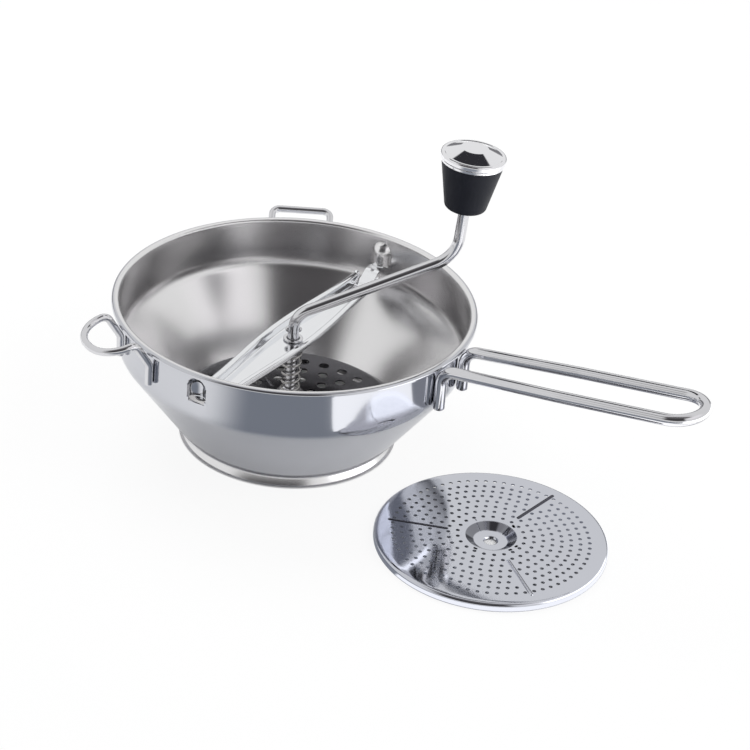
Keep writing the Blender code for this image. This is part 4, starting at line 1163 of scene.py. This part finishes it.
class MILL_OT_crank(bpy.types.Operator):
    """Builds the bent crank rod, its stop pin, the blade and the nut"""

    bl_idname = "mill.crank"
    bl_label = "Crank"

    def execute(self, context):
        """Sweeps the rod, turns the pin and tilts the blade's half-round plate."""
        elbow = BAR_FLOOR + ELBOW_RISE
        low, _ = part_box("crank_rod")
        up = np.array([math.sin(LEAN), 0, math.cos(LEAN)])
        standoff = (KNOB_ORIGIN[2] - elbow - ARM_RISE) / math.cos(LEAN)
        foot = np.array([ARM_REACH, 0, elbow + ARM_RISE])
        shoulder = foot + up * (standoff + SHOULDER_INSET)
        path = rounded([(0, 0, low.z), (0, 0, elbow), foot, shoulder], [ELBOW_BEND, UPPER_BEND])
        spigot = np.array([shoulder - up * SHOULDER_INSET, shoulder + up * SPIGOT_LENGTH])
        rod = Surfaces()
        for points, flow in (swept(path, ROD_RADIUS, ROD_RADIUS * 0.25, 32),
                             swept(spigot, SPIGOT_RADIUS, SPIGOT_RADIUS * 0.3)):
            rod.grid(on_axis(points, CRANK_TURN), flow)
        show("bent_rod", rod, finish_for("wire"), "crank", ["crank_rod"])

        reach = ROD_RADIUS + PIN_STAND
        pin_path = np.array([(-reach, 0, BAR_FLOOR + PIN_RISE), (reach, 0, BAR_FLOOR + PIN_RISE)])
        show_wire("cross_pin", "stop_pin", "crank", pin_path, PIN_RADIUS, PIN_RADIUS * 0.85,
                  step=0.0005, turn=CRANK_TURN)

        radius = DISC_RADIUS - BLADE_SIDE_GAP
        limit = math.acos(BLADE_EDGE_REACH / radius)
        outline = polar(radius, np.linspace(limit, math.tau - limit, 120))[:, :2]
        hub_low, hub_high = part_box("blade_hub")
        bore = (hub_high.y - hub_low.y) / 2 + BLADE_HUB_GAP
        hub = circle(bore, 48)
        points, faces = plate(outline, [hub], lambda middles: np.hypot(*middles.T) < bore * 0.998)
        blade_low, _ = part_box("scraper_blade")
        rise = (BLADE_EDGE_REACH - points[:, 0]) * math.tan(BLADE_TILT)
        lift = blade_low.z + BLADE_SHEET / 2 * math.cos(BLADE_TILT)
        solid = np.column_stack([points, lift + rise])
        blade = Surfaces().add(on_axis(solid, CRANK_TURN + BLADE_TURN), faces)
        show("blade_plate", blade, finish_for("satin"), "crank",
             ["scraper_blade"], wall=BLADE_SHEET)

        nut_low, nut_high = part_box("pilot_nut")
        across = NUT_CORNER * math.cos(math.pi / 6)
        turn = np.linspace(0, math.tau, 97)[None, :]
        flat = across / np.cos((turn + math.pi / 6) % (math.pi / 3) - math.pi / 6)
        base = nut_low.z + PILOT_HEIGHT
        levels = np.array([
            (base, 0.0), (base, NUT_FACE), (base + NUT_CHAMFER, NUT_CORNER),
            (nut_high.z - NUT_CHAMFER, NUT_CORNER), (nut_high.z, NUT_FACE), (nut_high.z, 0.0)])
        nut = polar(np.minimum(flat, levels[:, 1:]), turn, levels[:, :1])
        top = base + PILOT_OVERLAP
        pilot = rounded([(0, nut_low.z), (PILOT_TIP_RADIUS, nut_low.z), (PILOT_RADIUS, top),
                         (0, top)], [0.0004, 0.0], math.radians(15))
        both = Surfaces().grid(on_axis(nut)).grid(on_axis(lathe(pilot, 32)))
        show("foot_nut", both, finish_for("wire"), "crank", ["pilot_nut"])
        return {"FINISHED"}


class MILL_OT_knob(bpy.types.Operator):
    """Builds the black knob and its bright cap, and finishes the bush and clip inside"""

    bl_idname = "mill.knob"
    bl_label = "Knob"

    def execute(self, context):
        """Turns the body's and the cap's profiles round the knob's own axis."""
        seam = 0.002
        top = KNOB_HEIGHT + CAP_BAND - CAP_SEAT_DROP
        body = rounded([
            (KNOB_BORE, seam), (KNOB_BORE, 0), (KNOB_FOOT, 0), (KNOB_TOP, KNOB_HEIGHT - 0.0003),
            (CAP_SEAT, KNOB_HEIGHT), (CAP_SEAT, top), (KNOB_POCKET, top),
            (KNOB_POCKET, KNOB_POCKET_FLOOR), (KNOB_BORE, KNOB_POCKET_FLOOR), (KNOB_BORE, seam)],
            [0.0006, 0.0028, 0.0005, 0.0, 0.0004, 0.0004, 0.0, 0.0])
        show("grip", Surfaces().grid(on_knob(lathe(body, 96))), finish_for("black"), "knob",
             ["knob_body"])
        edge = KNOB_HEIGHT + CAP_BAND
        top = edge + CAP_CONE
        cap = rounded([
            (0, top), (CAP_FLAT, top), (CAP_BEAD, edge - 0.0002), (CAP_BEAD + 0.0005, edge),
            (CAP_RADIUS, edge), (CAP_RADIUS, KNOB_HEIGHT + 0.0018),
            (CAP_UNDERCUT, KNOB_HEIGHT + 0.0014), (CAP_UNDERCUT, KNOB_HEIGHT),
            (CAP_SKIRT, KNOB_HEIGHT), (CAP_SKIRT, edge - CAP_WALL - 0.0010),
            (CAP_FLAT, top - CAP_WALL), (0, top - CAP_WALL)],
            [0.0003, 0.0002, 0.0002, 0.0014, 0.0010, 0.0003, 0.0002, 0.0002, 0.0003, 0.0003])
        show("bright_cap", Surfaces().grid(on_knob(lathe(cap, 96))), finish_for("cap"), "knob",
             ["knob_cap"])
        for node in ("knob_bush", "knob_clip"):
            materials = frame["nodes"][node].data.materials
            for index in range(len(materials)):
                materials[index] = finish_for("cap")
        return {"FINISHED"}


# Studio

CAMERA_PLACE = (0.0, -11.49525332, 7.13265758)
CAMERA_YAW = math.radians(2.325)
CAMERA_PITCH = math.radians(30.373)
CAMERA_ROLL = math.radians(4.884)
CAMERA_TURN = math.radians(30)
CAMERA_LENS = 115.2
LAMP_SIZE = 1.2
FLOOR_REACH = 6.0
FLOOR_LEVEL = -0.00020
FLAG_LEVEL = -0.00010
SHEET_LEVEL = -0.00005

# What the steel reflects: name, azimuths and elevations in degrees, distance, colour, faded edges
SKY_CARDS = (
    ("dark_flag", (-150, -60), (12, 69), 2.0, (0.06, 0.057, 0.06), (0.24, 0.12, 0.22, 0.22)),
    ("back_flag", (35, 145), (0.5, 17), 2.2, (0.20, 0.20, 0.21), (0.2, 0.2, 0, 0.3)),
    ("high_flag", (-180, -16), (49, 89.9), 1.95, (0.13, 0.125, 0.13), (0.16, 0.16, 0.2, 0)),
    ("grey_ceiling", (-180, 180), (64, 89.9), 2.4, (0.70, 0.69, 0.70), (0, 0, 0.3, 0)),
    ("soft_box", (-62, 6), (22, 56), 1.8, (1.00, 0.98, 1.00), (0.25, 0.3, 0.3, 0.3)),
    ("low_box", (-48, 10), (3, 19), 0.34, (2.4, 2.4, 2.42), (0.1, 0.1, 0.1, 0.2)),
)

# What lies just over the floor: name, azimuths in degrees, distances, colour, faded edges
FLOOR_CARDS = (
    ("handle_flag", (-40, 10), (0.11, 0.30), (0.28, 0.29, 0.33), (0.25, 0.2, 0.3, 0.3)),
    ("floor_flag", (-134, -48), (0.066, 1.2), (0.26, 0.28, 0.32), (0.3, 0.3, 0.05, 0.3)),
)


def lamp(name, place, power):
    """A large square lamp that looks at the frame's origin and isn't seen in the steel."""
    data = bpy.data.lights.new(name, "AREA")
    data.size = LAMP_SIZE
    data.energy = power
    obj = bpy.data.objects.new(name, data)
    obj.location = place
    obj.rotation_euler = (-Vector(place)).to_track_quat("-Z", "Y").to_euler()
    obj.visible_glossy = False
    bpy.context.scene.collection.objects.link(obj)


def glow(name, colour, fade, gap=None):
    """A material that only shines, and fades out over shares of the card at its four edges.

    Where a gap is given, nothing shines within a disc's radius of it.
    """
    finish = Finish(name, colour, 1.0, 0.0)
    u, v = finish.flow()
    rims = [finish.node("ShaderNodeMapRange", {"interpolation_type": "SMOOTHSTEP"},
                        {"Value": edge, "From Max": soft})
            for edge, soft in zip((u, 1 - u, v, 1 - v), fade) if soft]
    if gap:
        x, y, _ = finish.parts(finish.place(gap))
        rims.append(finish.clipped(((x * x + y * y) ** 0.5 - DISC_RADIUS) * MASK_SLOPE))
    clear = finish.node("ShaderNodeBsdfTransparent")
    shine = finish.node("ShaderNodeEmission", None, {"Color": (*colour, 1.0)})
    finish.surface(math.prod(rims), clear, shine)
    finish.tree.nodes.remove(finish.shader)
    return finish.material


def card(name, points, colour, fade, gap=None):
    """A card that is seen only in the steel. Its points are in the camera's own frame."""
    rows, columns = points.shape[:2]
    flow = np.stack(np.meshgrid(np.linspace(0, 1, columns), np.linspace(0, 1, rows)), -1)
    obj = bpy.data.objects.new(
        name, Surfaces().grid(on_axis(points, CAMERA_TURN), flow).mesh(name))
    obj.data.materials.append(glow(name, colour, fade, gap))
    bpy.context.scene.collection.objects.link(obj)
    obj.visible_camera = False
    obj.visible_shadow = False
    obj.visible_diffuse = False


def sky_patch(azimuths, elevations, radius):
    """Part of a sphere between two azimuths and two elevations, in degrees."""
    turn = np.radians(np.linspace(*azimuths, 33))[None, :]
    rise = np.radians(np.linspace(*elevations, 17))[:, None]
    return polar(radius * np.cos(rise), turn, radius * np.sin(rise))


def floor_patch(azimuths, radii, level):
    """Part of a flat ring just over the floor."""
    turn = np.radians(np.linspace(*azimuths, 33))[None, :]
    return polar(np.linspace(*radii, 9)[:, None], turn, level)


class MILL_OT_stage(bpy.types.Operator):
    """Sets out the pale floor, the lamps, the cards that the steel reflects, and the camera"""

    bl_idname = "mill.stage"
    bl_label = "Stage"

    def execute(self, context):
        """The camera's place and turns come from matching the rim and the foot to the picture."""
        levels = context.scene.mill_studio
        scene = context.scene
        camera_data = bpy.data.cameras.new("camera")
        camera_data.lens = CAMERA_LENS
        camera_data.clip_end = 50.0
        camera = bpy.data.objects.new("camera", camera_data)
        ahead = np.array([math.sin(CAMERA_YAW) * math.cos(CAMERA_PITCH),
                          math.cos(CAMERA_YAW) * math.cos(CAMERA_PITCH), -math.sin(CAMERA_PITCH)])
        level = np.array([math.cos(CAMERA_YAW), -math.sin(CAMERA_YAW), 0.0])
        over = np.cross(level, ahead)
        right = math.cos(CAMERA_ROLL) * level + math.sin(CAMERA_ROLL) * over
        upward = -math.sin(CAMERA_ROLL) * level + math.cos(CAMERA_ROLL) * over
        place = on_axis(np.array(CAMERA_PLACE) * RIM_RADIUS, CAMERA_TURN)
        axes = [turned(axis, CAMERA_TURN) for axis in (right, upward, -ahead)]
        camera.matrix_world = Matrix.Translation(place) @ Matrix(np.array(axes).T).to_4x4()
        scene.collection.objects.link(camera)
        scene.camera = camera

        reach = [-FLOOR_REACH, FLOOR_REACH]
        floor = bpy.data.objects.new("floor", Surfaces().grid(
            np.stack([*np.meshgrid(reach, reach), np.full((2, 2), FLOOR_LEVEL)], -1)).mesh("floor"))
        scene.collection.objects.link(floor)
        floor.data.materials.append(floor_material())

        world = bpy.data.worlds.new("studio")
        scene.world = world
        world.use_nodes = True
        world.node_tree.nodes.clear()
        air = Shading(world.node_tree)
        seen = air.rays(1.0, 1.0, 1.0)
        strength = air.node("ShaderNodeMapRange", None, {
            "Value": seen, "To Min": levels.sky, "To Max": levels.backdrop})
        air.node("ShaderNodeOutputWorld", None, {
            "Surface": air.node("ShaderNodeBackground", None, {"Strength": strength})})

        lamp("key_lamp", (-0.9, 0.5, 1.5), levels.key)
        lamp("fill_lamp", (1.3, 0.3, 1.2), levels.fill)

        for name, azimuths, elevations, distance, colour, fade in SKY_CARDS:
            card(name, sky_patch(azimuths, elevations, distance), colour, fade)
        for name, azimuths, radii, colour, fade in FLOOR_CARDS:
            card(name, floor_patch(azimuths, radii, FLAG_LEVEL), colour, fade)
        card("white_sheet", floor_patch((-69, -23), (0.15, 0.32), SHEET_LEVEL), (1.4, 1.4, 1.42),
             (0.02, 0.02, 0.02, 0.02), middle_of("spare_disc"))
        above = turned(KNOB_ORIGIN - MILL_AXIS, -CAMERA_TURN) + (0, 0, KNOB_HEIGHT)
        card("knob_flag", sky_patch((20, 160), (50, 89), 0.16) + above, (0.03, 0.03, 0.035),
             (0, 0, 0.08, 0))
        scene.view_settings.view_transform = "Standard"
        return {"FINISHED"}


def floor_material():
    """A pale matt floor that keeps a soft shadow.

    A share of it is plain white wherever the camera or the steel sees it, but not under the
    discs, so that their holes stay dark.
    """
    finish = Finish("pale_floor", (0.93, 0.93, 0.935), 0.9, 0.0)
    cloud = finish.noise(finish.place(), 3.0, 2.0)
    finish.shine("Base Color", finish.mixed(cloud, (0.92, 0.92, 0.925), (0.94, 0.94, 0.945)))
    finish.shine("Specular IOR Level", 0.0)
    share = finish.rays(0.9, 0.15, 0.9)
    for node in ("fitted_disc", "spare_disc"):
        x, y, _ = finish.parts(finish.place(middle_of(node)))
        away = (x * x + y * y) ** 0.5
        share = share * finish.clipped((away - DISC_RADIUS + 0.006) * 300.0)
    white = finish.node("ShaderNodeEmission", None, {"Color": (1.0, 1.0, 1.0, 1.0)})
    finish.surface(share, Socket(finish, finish.shader.outputs["BSDF"]), white)
    return finish.material


OPERATORS = (MILL_OT_stage, MILL_OT_hopper, MILL_OT_wires, MILL_OT_crossbar, MILL_OT_discs,
             MILL_OT_washers, MILL_OT_spring, MILL_OT_crank, MILL_OT_knob)


class MILL_PT_panel(bpy.types.Panel):
    """Lists the mill's pieces, sizes and colours"""

    bl_label = "Food mill"
    bl_idname = "MILL_PT_panel"
    bl_space_type = "VIEW_3D"
    bl_region_type = "UI"
    bl_category = "Food mill"

    def draw(self, context):
        """One button for each operator, then the settings."""
        for operator in OPERATORS:
            self.layout.operator(operator.bl_idname)
        for setting in GROUPS:
            group = getattr(context.scene, setting)
            box = self.layout.box()
            for name in group.__annotations__:
                box.prop(group, name)


GROUPS = {"mill_sizes": MillSizes, "mill_colours": MillColours, "mill_studio": StudioLevels}
CLASSES = (*GROUPS.values(), *OPERATORS, MILL_PT_panel)


def register():
    """Registers the classes and hangs the settings on the scene."""
    for cls in CLASSES:
        bpy.utils.register_class(cls)
    for name, group in GROUPS.items():
        setattr(bpy.types.Scene, name, PointerProperty(type=group))


def unregister():
    """Takes the settings and the classes away again."""
    for name in GROUPS:
        delattr(bpy.types.Scene, name)
    for cls in reversed(CLASSES):
        bpy.utils.unregister_class(cls)


def clear_start_scene():
    """Takes away what Blender starts with, and leaves the frame."""
    for obj in list(bpy.data.objects):
        if obj.type in {"CAMERA", "LIGHT"} or obj.name == "Cube":
            bpy.data.objects.remove(obj, do_unlink=True)


def main():
    clear_start_scene()
    register()
    for operator in OPERATORS:
        getattr(bpy.ops.mill, operator.bl_idname.partition(".")[2])()
    bpy.context.view_layer.update()


if __name__ == "__main__":
    main()
